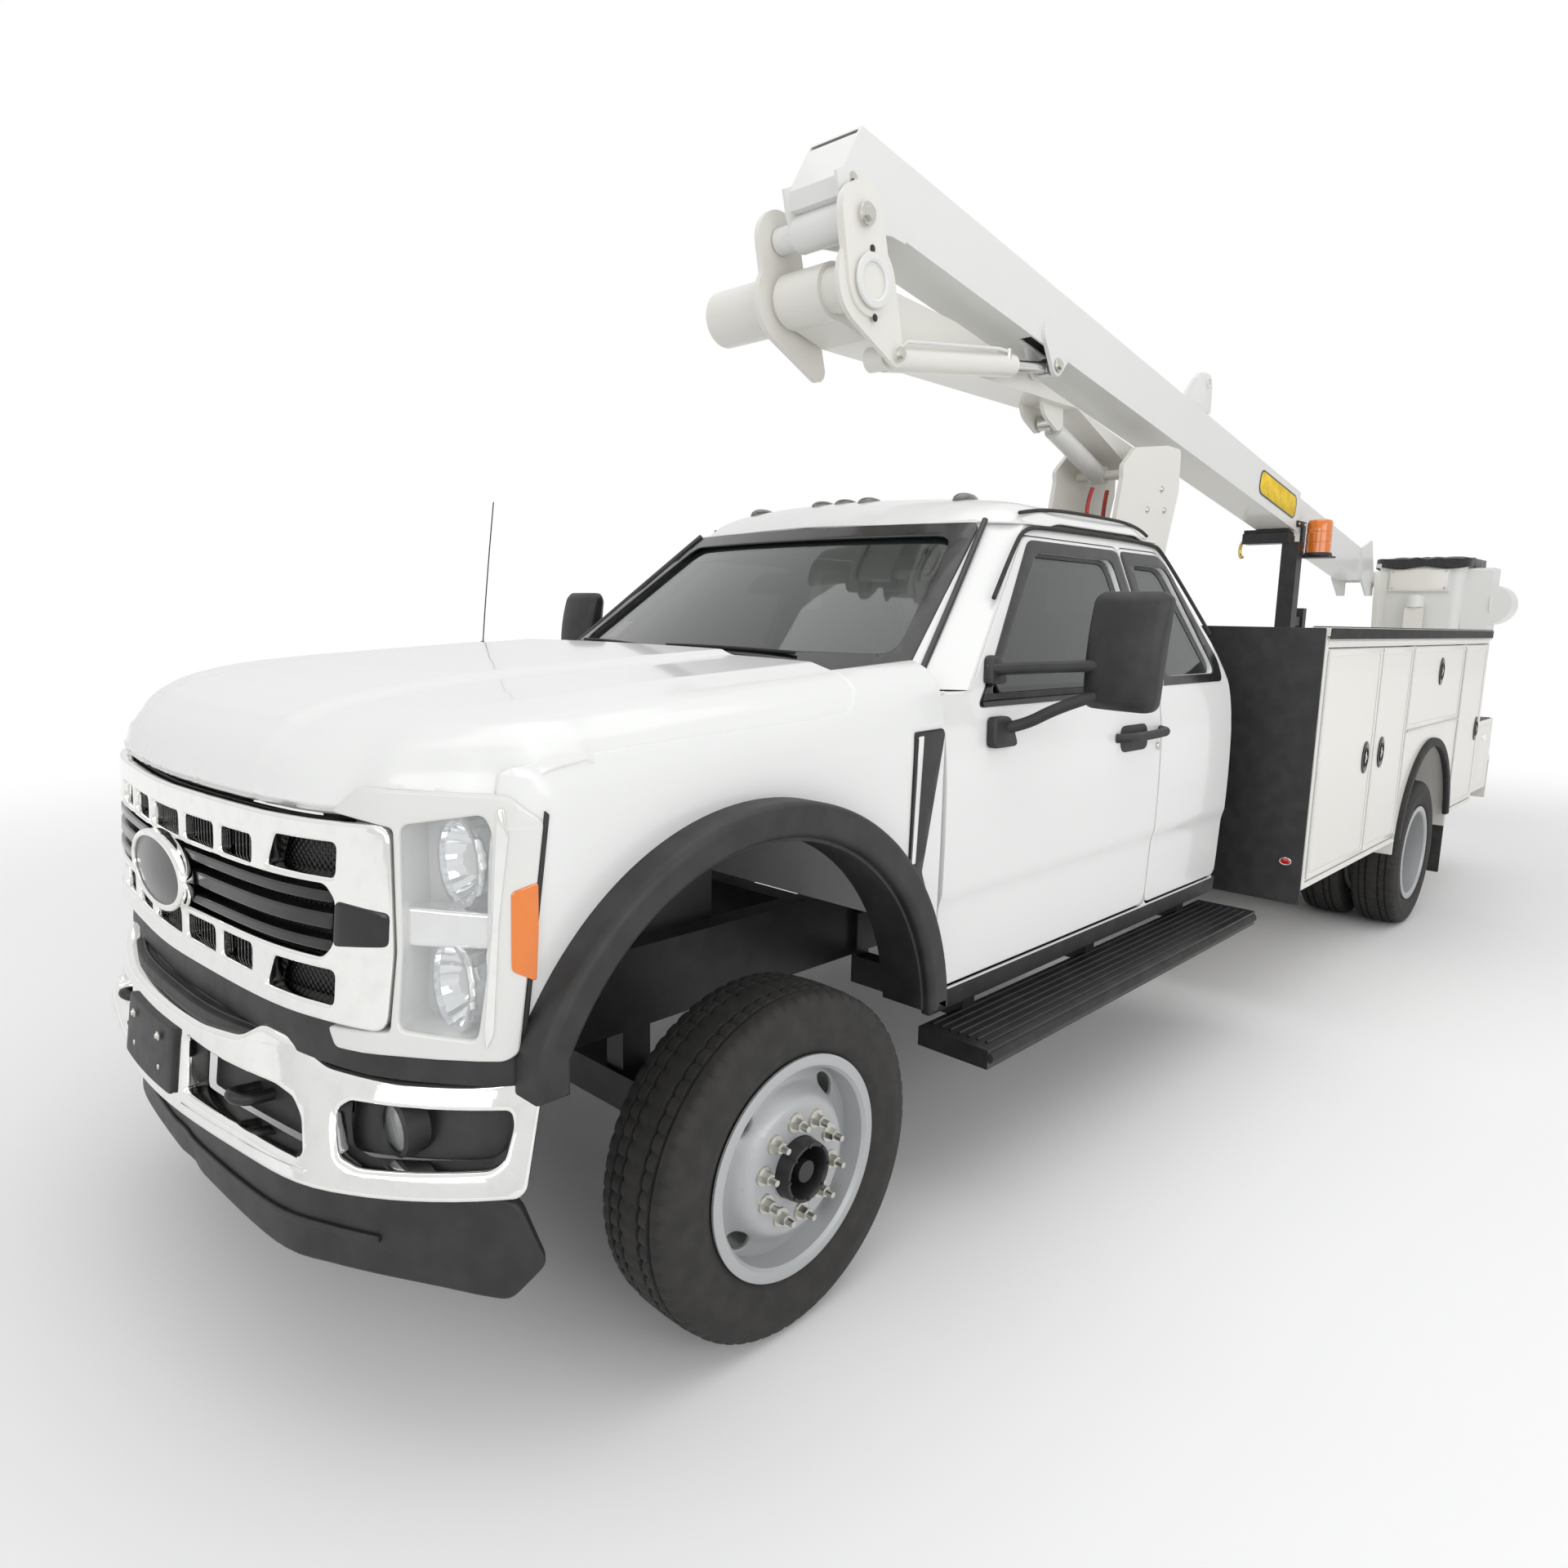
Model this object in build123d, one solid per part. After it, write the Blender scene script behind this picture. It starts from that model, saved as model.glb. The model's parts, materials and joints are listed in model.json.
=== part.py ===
from build123d import *
from math import atan2, cos, degrees, hypot, radians, sin, tan
import os

# Cherry picker truck: chassis cab with a service body and an articulated, telescopic lift.
# Millimetres. +X forward, +Y to the driver's side, +Z up. Stations are measured from the
# front axle, and place() moves every piece so that X = 0 is at the middle of the length.

# ---- driving dimensions ----
wheelbase = 4877
front_reach = 1012  # front axle to the bumper's face
rear_reach = 8505  # front axle to the back of the bucket
half_width = 985  # door skin from the centre plane at its widest
gap = 7  # seam round a door, a lid or the hood

tyre_radius = 405
tyre_width = 225
rim_radius = 260  # over the rim's flange
bead_radius = 243
front_track = 950  # centre plane to the middle of a front tyre
dual_track = 940  # centre plane to the middle of a twin pair
dual_step = 272  # between the twins
seat = 0.3  # gap between a piece and what carries it, and radial clearance round a pin

rail_half = 430  # centre plane to the middle of a frame rail
rail_width = 76
rail_low, rail_top = 560, 780
rail_front = 800

rocker_z, belt_z, eave_z, roof_z = 610, 1450, 1940, 2020
door_front, door_split, cab_rear = -610, -1915, -2600
wall = 60  # door and cab wall
cab_floor = 850
arch_low = 640

body_front = -2890
body_tail = 1233  # rear axle to the back of the body
body_half = 1200
body_low, body_top = 555, 1600
pack_depth = 700  # one side pack, from its doors to its inner wall
sheet = 30  # body wall and door thickness
floor_z = 950
seam_a = -3730  # seam between the first two doors of a pack
arch_lead, arch_trail = 587, 578  # rear axle to the seams before and behind the wheel
body_arch_radius = 560
low_door_z = 1120  # foot of the door over the wheel

turret_x = -3360
bearing_z = 1780
near_plate, far_plate = 125, -230  # inner face of the near plate, outer face of the far one
plate = 22

boom_slope = 9.15  # upper boom below level, towards the back
boom_w, boom_h, boom_wall = 230, 262, 10
fly_w, fly_h = 190, 224
elbow = (-1181, 2942)  # upper boom's pin, X and Z
hub = (-1227, 2748)  # lower boom's head, X and Z
arm = (-1396, 2547)  # foot of the tilt cylinder
lug = (-2531, 2718)  # rod end of the tilt cylinder
lower_pin = (-3700, 2450)  # lower boom's foot
lift_base = (-3396, 2373)
lift_eye = (-2857, 2555)
tip = (-7665, 2020)  # levelling pin at the boom's tip

bucket_x, bucket_y = -8170, 385  # bucket's middle
bucket_size, bucket_low, bucket_rim = 610, 1090, 2150

middle = (rear_reach - front_reach) / 2
rear_x = -wheelbase
body_rear = rear_x - body_tail
rail_rear = body_rear - 520
seam_b, seam_c = rear_x + arch_lead, rear_x - arch_trail


# ---- helpers ----
def place(shape):
    return Pos(middle, 0, 0) * shape


def block(x0, x1, y0, y1, z0, z1):
    return Pos((x0 + x1) / 2, (y0 + y1) / 2, (z0 + z1) / 2) * Box(abs(x1 - x0), abs(y1 - y0), abs(z1 - z0))


def side_prism(outline, y0, y1):
    """Outline in X and Z, run from y0 to y1."""
    return extrude(Plane.XZ.offset(-max(y0, y1)) * outline, abs(y1 - y0), dir=(0, -1, 0))


def flat_prism(outline, z0, z1):
    """Outline in X and Y, run from z0 to z1."""
    return extrude(Plane.XY.offset(z0) * outline, z1 - z0, dir=(0, 0, 1))


def cross_prism(outline, x0, x1):
    """Outline in Y and Z, run from x0 to x1."""
    return extrude(Plane.YZ.offset(x0) * outline, x1 - x0, dir=(1, 0, 0))


def poly(*points):
    return Polygon(*points, align=None)


def rounded(radius, *points):
    face = poly(*points)
    return fillet(face.vertices(), radius)


def cross_bar(x, z, radius, y0, y1):
    return Pos(x, (y0 + y1) / 2, z) * Rot(90, 0, 0) * Cylinder(radius, abs(y1 - y0))


def upright(x, y, radius, z0, z1):
    return Pos(x, y, (z0 + z1) / 2) * Cylinder(radius, z1 - z0)


def bar(start, end, radius):
    a, b = Vector(*start), Vector(*end)
    return Solid.make_cylinder(radius, (b - a).length, Plane(a, z_dir=(b - a).normalized()))


def both(shape):
    """The shape and its mirror image across the centre plane."""
    return Compound(children=list(shape.solids()) + list(mirror(shape, Plane.XZ).solids()))


def other(shape):
    return mirror(shape, Plane.XZ)


def disc(x, z, radius):
    return Pos(x, z) * Circle(radius)


def link(a, ra, b, rb):
    """Flat link in X and Z: the hull of two round ends."""
    return make_hull(Sketch(children=[disc(*a, ra), disc(*b, rb)]).edges())


def turned(points):
    """Outline points of radius and height, turned about Z."""
    return revolve(Plane.XZ * poly(*points), Axis.Z)


# ---- cab and front end: walls between an outer and an inner loft ----
def cab_section(z, nose, bow, corner, side, back, inset):
    """Plan of the cab at one height: bowed front, straight sides and back."""
    n, s, b = nose - inset, side - inset, back + inset
    chamfer = side - corner
    front = ThreePointArc((n - bow, corner - inset), (n, 0), (n - bow, inset - corner))
    rest = Polyline((n - bow, inset - corner), (n - bow - chamfer, -s), (b + 60, -s), (b, 60 - s),
                    (b, s - 60), (b + 60, s), (n - bow - chamfer, s), (n - bow, corner - inset))
    return Plane.XY.offset(z) * make_face([front] + rest.edges())


# height, nose, bow, half width of the front, half width, back
cab_rows = (
    (rocker_z, -560, 20, half_width - 35, half_width - 25, cab_rear),
    (1050, -560, 20, half_width - 10, half_width, cab_rear),
    (belt_z, -560, 20, half_width - 45, half_width - 35, cab_rear),
)
glass_rows = (
    (belt_z, -450, 170, 830, half_width - 35, cab_rear),
    (eave_z, -1120, 90, 640, 745, cab_rear + 290),
)
roof_rows = (
    (eave_z, -1120, 90, 640, 745, cab_rear + 290),
    (roof_z, -1290, 60, 470, 600, cab_rear + 420),
)


def cab_solid(inset):
    shape = None
    for rows in (cab_rows[:2], cab_rows[1:], glass_rows, roof_rows):
        drop = inset if rows is roof_rows else 0
        faces = [cab_section(z - (drop if z == roof_z else 0), *row, inset) for z, *row in rows]
        piece = loft(faces, ruled=True)
        shape = piece if shape is None else shape + piece
    return shape


# station, crown height, height of the shoulder's top and of its foot
nose_rows = (
    (-600, 1550, 1528, 1442),
    (430, 1500, 1458, 1388),
    (720, 1450, 1405, 1345),
    (1000, 1330, 1300, 1230),
)


def nose_section(x, crown, shoulder, foot, inset):
    """Round-shouldered section of the front end in Y and Z."""
    half = [(0, crown), (560, crown - 9), (half_width - 150, shoulder), (half_width - 32, foot), (half_width, foot - 190), (half_width - 15, rocker_z)]
    half = [(max(y - inset, 0), z - (inset if z > rocker_z else 0)) for y, z in half]
    points = half + [(-y, z) for y, z in reversed(half[1:])]
    return Plane.YZ.offset(x) * poly(*points)


def nose_solid(inset):
    """Front end, from the cowl to the grille, with its rounded plan."""
    body = loft([nose_section(*row, inset) for row in nose_rows], ruled=True)
    side = half_width + 5 - inset
    front, edge, corner = 938 - inset, (866 - inset, 650 - inset / 4), (778 - 0.7 * inset, 826 - 0.7 * inset)
    plan = make_face([
        ThreePointArc((edge[0], -edge[1]), (front, 0), edge),
        ThreePointArc(edge, corner, (640, side)),
        Line((640, side), (-610, side)),
        Line((-610, side), (-610, -side)),
        Line((-610, -side), (640, -side)),
        ThreePointArc((640, -side), (corner[0], -corner[1]), (edge[0], -edge[1])),
    ])
    return body & flat_prism(plan, 500, 1700)


cab_outer, cab_inner = cab_solid(0), cab_solid(wall)
nose_outer, nose_inner = nose_solid(0), nose_solid(40)
cab_wall = cab_outer - (cab_inner - block(-600, cab_rear, -half_width, half_width, cab_floor - 50, cab_floor))
nose_wall = nose_outer - nose_inner

# side windows and doors, as outlines in X and Z
front_door_outline = rounded(25, (door_front - gap, rocker_z + 25), (door_split + gap / 2, rocker_z + 25), (door_split + gap / 2, 1895),
                             (-1285, 1895), (-755, 1443), (door_front - gap, 1443))
rear_door_outline = rounded(35, (door_split - gap / 2, rocker_z + 25), (-2560, rocker_z + 25), (-2560, 1420), (-2500, 1560), (-2290, 1850),
                            (-2230, 1895), (door_split - gap / 2, 1895))
front_window = rounded(40, (-845, 1430), (-1840, 1430), (-1840, 1850), (-1330, 1850))
rear_window = rounded(38, (-1990, 1452), (-2437, 1452), (-2262, 1843), (-1990, 1847))


def grown(outline, amount):
    return offset(outline, amount, kind=Kind.ARC)


side_rows = ((rocker_z, half_width - 25), (1050, half_width), (belt_z, half_width - 35), (eave_z, 745))


def side_band(low, high, x0=-2620, x1=-500):
    """Layer along the cab's side, between two depths from its skin."""
    points = [(y + high, z) for z, y in side_rows] + [(y + low, z) for z, y in reversed(side_rows)]
    return cross_prism(poly(*points), x0, x1)


def door_opening(outline):
    return side_band(-wall - 1, 40) & side_prism(grown(outline, gap), 600, half_width + 60)


openings = door_opening(front_door_outline) + door_opening(rear_door_outline)


def window_slice(cutter, depth=18, thick=6):
    """Glass lying in the wall, under its outer skin."""
    return (cab_solid(depth) - cab_solid(depth + thick)) & cutter


windshield_cut = cross_prism(poly((-790, 1495), (790, 1495), (650, 1925), (-650, 1925)), -1400, -300)
backlight_cut = cross_prism(rounded(40, (-620, 1480), (620, 1480), (560, 1860), (-560, 1860)), -2700, -2150)

cab_shell = cab_wall - openings - other(openings) - windshield_cut - backlight_cut
cab_shell -= block(-640, -400, -1100, 1100, 500, belt_z - 90) + block(-2700, -500, -700, 700, 500, cab_floor - 55)
cab_glass_parts = [window_slice(windshield_cut), window_slice(backlight_cut)]
cab_glass = Compound(children=[s for p in cab_glass_parts for s in p.solids()])

door_skin = side_band(-wall, 0)
pane = side_band(-24, -18)
relief = 16  # degrees; the doors' meeting edges are cut back inside so that either opens first


def edge_relief(x, side):
    wedge = poly((x, half_width + 60), (x + side * 400 * tan(radians(relief)), half_width - 340), (x - side * 90, half_width - 340), (x - side * 90, half_width + 60))
    return flat_prism(wedge, 400, 2100)


front_door = door_skin & side_prism(front_door_outline - front_window, 600, half_width + 60)
front_glass = pane & side_prism(grown(front_window, -seat), 600, half_width + 60)
rear_door = door_skin & side_prism(rear_door_outline - rear_window, 600, half_width + 60)
rear_glass = pane & side_prism(grown(rear_window, -seat), 600, half_width + 60)

# ---- front end ----
hood_line = ((1100, 1322), (735, 1322), (719, 1341), (695, 1362), (656, 1377), (421, 1391), (126, 1406), (-127, 1416), (-240, 1429), (-280, 1525), (-285, 1600))
hood = nose_wall & side_prism(poly(*hood_line, (1100, 1600)), -1100, 1100)
fender_line = [(x, z - gap) for x, z in hood_line[:-3]] + [(-240 - gap, 1429 - gap), (-280 - gap, 1525), (-285 - gap, 1600)]
hood_space = side_prism(poly(*fender_line, (1100, 1600)), -1100, 1100)
arch_outer = make_face([ThreePointArc((666, 870), (78, 1251), (-571, arch_low)), Line((-571, arch_low), (-571, 300)), Line((-571, 300), (666, 300)), Line((666, 300), (666, 870))])
arch_inner = make_face([ThreePointArc((598, 850), (60, 1172), (-492, arch_low)), Line((-492, arch_low), (-492, 300)), Line((-492, 300), (598, 300)), Line((598, 300), (598, 850))])
arch_space = side_prism(arch_inner, -1200, 1200)
hood_pin = (-300, 1478)
hood_ear = block(-318, -270, 585, 597, 1462, 1512) & (nose_outer + block(-318, -280, 585, 597, 1462, 1500))
hood += both(hood_ear - cross_bar(*hood_pin, 8 + seat, 500, 700))
cowl = block(-655, -330, -800, 800, 1440, 1470)
cowl_ear = block(-400, -286, 598, 615, 1442, 1488) + cross_bar(*hood_pin, 8, 584, 610)
firewall = block(-660, -640, -880, 880, cab_floor - 10, belt_z - 60)


def hinge_leaves(x0, x1, post_x0, post_x1):
    """Two leaves behind a door's hinged edge, on the post beside it."""
    leaves = None
    for z in (900, 1250):
        leaf = block(x0, x1, 860, half_width, z, z + 60) & side_band(-wall - 20, -wall - seat)
        leaf += block(post_x0, post_x1, 860, half_width, z, z + 60) & side_band(-wall - 20, -wall + 5)
        leaves = leaf if leaves is None else leaves + leaf
    return leaves


cab_hinges = hinge_leaves(-670, -600, -604, -596) + hinge_leaves(-2590, -2500, -2590, -2572)
cheek_wall = block(-660, -590, 800, half_width, cab_floor - 10, belt_z - 60) & side_band(-120, -wall - seat)
cab_shell = cab_shell + firewall + cheek_wall + other(cheek_wall)
cab_shell = cab_shell + cab_hinges + other(cab_hinges) + cowl + both(cowl_ear)
lamp_x, lamp_y = 650, 780  # rear end and inner edge of a headlamp
lamp_low, lamp_high = 840, 1322
grille_low, grille_high = 880, 1255
fender_wall = nose_wall - hood_space - arch_space - block(lamp_x - gap, 1200, -1200, 1200, 0, lamp_high + seat) - block(590, 1200, -1200, 1200, 0, 790)
fender_wall -= block(-610, -262, -840, 840, 0, 1700)
fender_left = (fender_wall & block(-610, 1000, 0, 1100, 500, 1700)) - (cab_solid(-seat) & block(-700, -300, 0, 1100, 1352, 1700))
fenders = both(fender_left)

flare_left = (side_prism(arch_outer - arch_inner, 930, 1060) - block(-700, 800, 900, 1100, 0, arch_low - 5)) - nose_solid(-seat)
lamp_zone = block(lamp_x, 1000, lamp_y, 1000, lamp_low + seat, lamp_high)
for z0, z1 in ((lamp_low + seat, grille_low - seat), (grille_high + seat, lamp_high)):
    lamp_zone += block(700, 1000, 660, lamp_y + 1, z0, z1)
lamp_left = (nose_solid(2) - nose_solid(110)) & lamp_zone
face_wall = nose_outer - nose_solid(70)
grille = face_wall & block(700, 1000, seat - lamp_y, lamp_y - seat, grille_low, grille_high)
# openings: inner and outer half width, foot, head
cells = ((125, 270, 1147, 1200), (300, 435, 1147, 1200), (505, 675, 1155, 1215), (125, 270, 932, 985), (300, 435, 932, 985), (505, 675, 917, 977))
slots = ((1005, 1036), (1054, 1085), (1103, 1135))
for y0, y1, z0, z1 in cells:
    grille -= both(block(600, 1000, y0, y1, z0, z1))
for z0, z1 in ((1147, 1200), (932, 985)):
    grille -= block(600, 1000, -90, 90, z0, z1)
for z0, z1 in slots:
    grille -= block(600, 1000, -680, 680, z0, z1)
grille += cross_prism(Pos(0, 1060) * Ellipse(180, 87), 880, 962)
core_support = block(740, 760, -700, 700, grille_low + 5, 1180) + block(740, 760, -500, 500, 600, grille_low + 6)


def plan_band(rows, depth):
    """Wall between two plans, each at its own height and depth thick."""
    faces = []
    for z, points in rows:
        full = [(x, -y) for x, y in reversed(points[1:])] + list(points)
        inner = []
        for i, (x, y) in enumerate(full):
            ax, ay = full[max(i - 1, 0)]
            bx, by = full[min(i + 1, len(full) - 1)]
            length = hypot(bx - ax, by - ay)
            inner.append((x - depth * (by - ay) / length, y + depth * (bx - ax) / length))
        faces.append(Plane.XY.offset(z) * poly(*full, *reversed(inner)))
    return loft(faces, ruled=True)


bumper_low, bumper_high = 570, 778
bumper_depth = 110
bumper_rows = (
    (bumper_low, ((front_reach, 0), (1003, 190), (975, 420), (938, 630), (874, 762), (781, 879), (690, 955))),
    (bumper_high, ((985, 0), (972, 242), (930, 450), (868, 600), (790, 755), (700, 868), (660, 905))),
)
bumper_band = plan_band(bumper_rows, bumper_depth)
front_bumper = bumper_band - both(block(560, 668, 900, 1100, 400, 900)) - both(block(560, 1100, 610, 900, 632, 724))
front_bumper -= both(block(700, 1100, 215, 560, 630, 728))
dam_rows = (
    (355, ((930, 0), (935, 108), (915, 461), (859, 614), (753, 810), (680, 925))),
    (bumper_low - seat, ((950, 0), (940, 200), (905, 450), (850, 620), (775, 770), (710, 880))),
)
air_dam = plan_band(dam_rows, 45)
fog_pocket = plan_band(bumper_rows, bumper_depth - 5) - plan_band(bumper_rows, 70)
fog_pockets = both(fog_pocket & block(560, 1100, 610 + seat, 900 - seat, 632 + seat, 724 - seat))
step_pad = flat_prism(make_face([ThreePointArc((925, -430), (975, 0), (925, 430)), Line((925, 430), (880, 430)), Line((880, 430), (880, -430)), Line((880, -430), (925, -430))]),
                      bumper_high + seat, bumper_high + 20)
trim_wall = nose_solid(12) - nose_solid(70)
lower_trim = trim_wall & (block(670, 1000, -1000, 1000, bumper_high + 21, lamp_low) + block(700, 1000, -659, 659, lamp_low - 1, grille_low - seat))
lower_trim += trim_wall & both(block(670, 1000, 640, 1000, bumper_high + seat, bumper_high + 22))
upper_trim = (nose_solid(28) - nose_solid(70)) & block(700, 1000, -659, 659, grille_high + seat, 1316)

# ---- frame, axles, engine ----
rails = None
for side in (-1, 1):
    y = side * rail_half
    rail = block(rail_rear, rail_front, y - rail_width / 2, y + rail_width / 2, rail_low, rail_top)
    rail -= block(rail_rear - 1, rail_front + 1, y - side * rail_width / 2 - side, y + side * (rail_width / 2 - 10), rail_low + 10, rail_top - 10)
    rails = rail if rails is None else rails + rail
for x in (rail_front - 60, -700, -1900, -3000, -3700, rear_x + 477, rear_x - 473, rail_rear + 60):
    rails += block(x - 40, x + 40, -(rail_half + rail_width / 2 - 10), rail_half + rail_width / 2 - 10, rail_low + 20, rail_top - 20)
horn = block(rail_front - 40, 920, rail_half - 30, rail_half + rail_width / 2, 590, 622) - plan_band(bumper_rows, bumper_depth + seat)
cab_mount = upright(-800, rail_half, 40, rail_top, cab_floor - 50 - seat) + upright(-2300, rail_half, 40, rail_top, cab_floor - 50 - seat)
fender_arm = (block(500, 760, 660, 700, 1140, 1180) + block(500, 540, 660, 1000, 1140, 1180)) & nose_solid(40 + seat)
frame_rails = rails + core_support
for piece in (horn, cab_mount, fender_arm):
    frame_rails += piece + other(piece)

engine_block = block(-420, 480, -290, 290, 620, 1230)
engine_block += block(40, 120, -(rail_half + rail_width / 2 - 10 - seat), rail_half + rail_width / 2 - 10 - seat, 640, 720)
kingpin_y = 800
front_axle = block(-60, 60, -720, 720, tyre_radius - 55, tyre_radius + 45)
front_axle += both(block(-45, 45, rail_half - 35, rail_half + 35, tyre_radius + 40, rail_low - 0.3))
front_axle += both(block(-50, 50, 700, kingpin_y - 42, tyre_radius - 60, tyre_radius + 60))
front_axle += both(upright(0, kingpin_y, 24, tyre_radius - 95, tyre_radius + 95))
front_axle += both(block(-40, 40, kingpin_y - 100, kingpin_y + 30, tyre_radius + 95, tyre_radius + 125) + block(-40, 40, kingpin_y - 100, kingpin_y + 30, tyre_radius - 125, tyre_radius - 95)
                   + block(-40, 40, kingpin_y - 100, kingpin_y - 44, tyre_radius - 125, tyre_radius + 125))
rear_axle = cross_bar(rear_x, tyre_radius, 62, -dual_track + 60, dual_track - 60)
rear_axle += Pos(rear_x, 0, tyre_radius) * Sphere(190)
rear_axle += both(block(rear_x - 620, rear_x + 620, rail_half - 38, rail_half + 38, tyre_radius + 60, tyre_radius + 100))
rear_axle += both(block(rear_x - 70, rear_x + 70, rail_half - 45, rail_half + 45, tyre_radius - 70, tyre_radius + 120))
rear_axle += both(block(rear_x - 640, rear_x - 570, rail_half - 30, rail_half + 30, tyre_radius + 60, rail_low - 0.3) + block(rear_x + 570, rear_x + 640, rail_half - 30, rail_half + 30, tyre_radius + 60, rail_low - 0.3))


# ---- wheels ----
def tyre(x, y):
    half = tyre_width / 2
    section = [(bead_radius + 0.5, -half + 26), (rim_radius + 5, -half + 24), (rim_radius + 22, -half + 8), (tyre_radius - 75, -half), (tyre_radius - 28, -half + 6), (tyre_radius - 4, -half + 26),
               (tyre_radius, 0), (tyre_radius - 4, half - 26), (tyre_radius - 28, half - 6), (tyre_radius - 75, half), (rim_radius + 22, half - 8), (rim_radius + 5, half - 24), (bead_radius + 0.5, half - 26)]
    return Pos(x, y, tyre_radius) * Rot(90, 0, 0) * turned(section)


def rim(x, y, face, dish):
    """Steel disc wheel. Its disc stands dish from the rim's middle, towards +Y for face 1."""
    half = tyre_width / 2 - 10
    barrel = [(bead_radius - 12, -half), (rim_radius, -half), (rim_radius, -half + 8), (bead_radius, -half + 14), (bead_radius, half - 14), (rim_radius, half - 8),
              (rim_radius, half), (bead_radius - 12, half)]
    cone = [(70, dish), (150, dish), (182, dish - 40), (bead_radius - 6, 50), (bead_radius - 6, 34), (174, dish - 54), (144, dish - 14), (70, dish - 14)]
    wheel = turned(barrel) + turned([(r, -face * h) for r, h in cone])
    for k in range(4):
        wheel -= Rot(0, 0, 45 + 90 * k) * Pos(205, 0, 0) * extrude(Plane.XY.offset(-150) * Ellipse(19, 34), 300)
    return Pos(x, y, tyre_radius) * Rot(90, 0, 0) * wheel


def hub_drum(x, y0, y1, radius, bore):
    return cross_bar(x, tyre_radius, radius, y0, y1) - cross_bar(x, tyre_radius, bore, y0 - 1, y1 + 1)


spindle = 25
front_dish = 100
front_rim = rim(0, front_track, 1, front_dish) + hub_drum(0, front_track - 20, front_track + front_dish + 30, 71, spindle + seat)
front_tyre = tyre(0, front_track)
rear_tyres = Compound(children=[tyre(rear_x, dual_track + s * dual_step / 2) for s in (-1, 1)])
rear_rims = rim(rear_x, dual_track + dual_step / 2, -1, dual_step / 2) + rim(rear_x, dual_track - dual_step / 2, 1, dual_step / 2)
rear_rims += hub_drum(rear_x, dual_track - 30, dual_track + 120, 71, spindle + seat)
rear_axle += both(cross_bar(rear_x, tyre_radius, spindle, dual_track - 70, dual_track + 118))

knuckle = upright(0, kingpin_y, 38, tyre_radius - 92, tyre_radius + 92) + block(-38, 38, kingpin_y, kingpin_y + 60, tyre_radius - 92, tyre_radius + 92)
knuckle -= upright(0, kingpin_y, 24 + seat, 0, 900)
knuckle += cross_bar(0, tyre_radius, spindle, kingpin_y + 50, front_track + front_dish + 28)
knuckle += block(-190, -30, kingpin_y - 12, kingpin_y + 12, tyre_radius - 88, tyre_radius - 66)

# ---- service body ----
pack_outer = block(body_rear, body_front, body_half - pack_depth, body_half, body_low, body_top)
bays = ((body_front - 60, seam_b + 25, body_low + 50, body_top - 70),
        (seam_b - 20, seam_c + 20, low_door_z + 25, body_top - 70),
        (seam_c - 25, body_rear + 55, body_low + 50, body_top - 70))
arch_tunnel = cross_bar(rear_x, tyre_radius + 80, body_arch_radius, body_half - pack_depth - 1, body_half + 1)
below_arch = block(rear_x - body_arch_radius, rear_x + body_arch_radius, body_half - pack_depth - 1, body_half + 1, 0, tyre_radius + 80)
pack = pack_outer
for x1, x0, z0, z1 in bays:
    pack -= block(x0, x1, body_half - pack_depth + sheet, body_half - 20, z0, z1)
door_rows = {
    # name: front edge, rear edge, foot, head
    "body_door_a": (body_front - 35, seam_a, body_low + 25, body_top - 45),
    "body_door_b": (seam_a, seam_b + 5, body_low + 25, body_top - 45),
    "body_door_c": (seam_b - 5, seam_c + 5, low_door_z, body_top - 45),
    "body_door_d": (seam_c - 5, body_rear + 30, body_low + 25, body_top - 45),
}
body_doors = {}
for name, (x1, x0, z0, z1) in door_rows.items():
    pack -= block(x0, x1, body_half - sheet - 5, body_half + 1, z0, z1)
    body_doors[name] = block(x0 + gap, x1 - gap, body_half - sheet, body_half, z0 + gap, z1 - gap)
leaf_rows = ((body_front - 100, body_front - 45), (seam_b + 10, seam_b + 70), (seam_c - 70, seam_c - 10))
for x0, x1 in leaf_rows:
    for z in (700, 1400):
        pack += block(x0, x1, body_half - sheet - 20, body_half - sheet - seat, z, z + 80)
for x in (rear_x + 277, rear_x - 223):
    pack += block(x - 60, x + 60, body_half - sheet - 20, body_half - sheet - seat, low_door_z + 5, low_door_z + 45)
pack = pack - arch_tunnel - below_arch
arch_liner = (cross_bar(rear_x, tyre_radius + 80, body_arch_radius + 14, body_half - pack_depth, body_half - 2) - cross_bar(rear_x, tyre_radius + 80, body_arch_radius, 0, body_half + 1)) & block(
    rear_x - 600, rear_x + 600, 0, body_half, tyre_radius + 80, 1200)
pack += arch_liner
rail_cap = block(body_rear, body_front, body_half - 60, body_half + 12, body_top, body_top + 35)
bulkhead = block(body_front - sheet, body_front, -(body_half - pack_depth), body_half - pack_depth, body_low + 240, body_top)
deck = block(body_rear, body_front, -(body_half - pack_depth) - 1, body_half - pack_depth + 1, floor_z - 40, floor_z)
sills = both(block(body_rear + 40, body_front - 40, rail_half - 60, rail_half + 60, rail_top, floor_z - 40))
service_body = pack + other(pack) + rail_cap + other(rail_cap) + bulkhead + deck + sills
rear_flare = side_prism(Pos(rear_x, tyre_radius + 80) * (Circle(body_arch_radius + 4) - Circle(body_arch_radius - 44)) & poly((rear_x - 700, 560), (rear_x + 700, 560), (rear_x + 700, 1300), (rear_x - 700, 1300)),
                        body_half, body_half + 22)
mud_flap = block(rear_x - 683, rear_x - 668, 830, 1180, 180, body_low)

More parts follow.
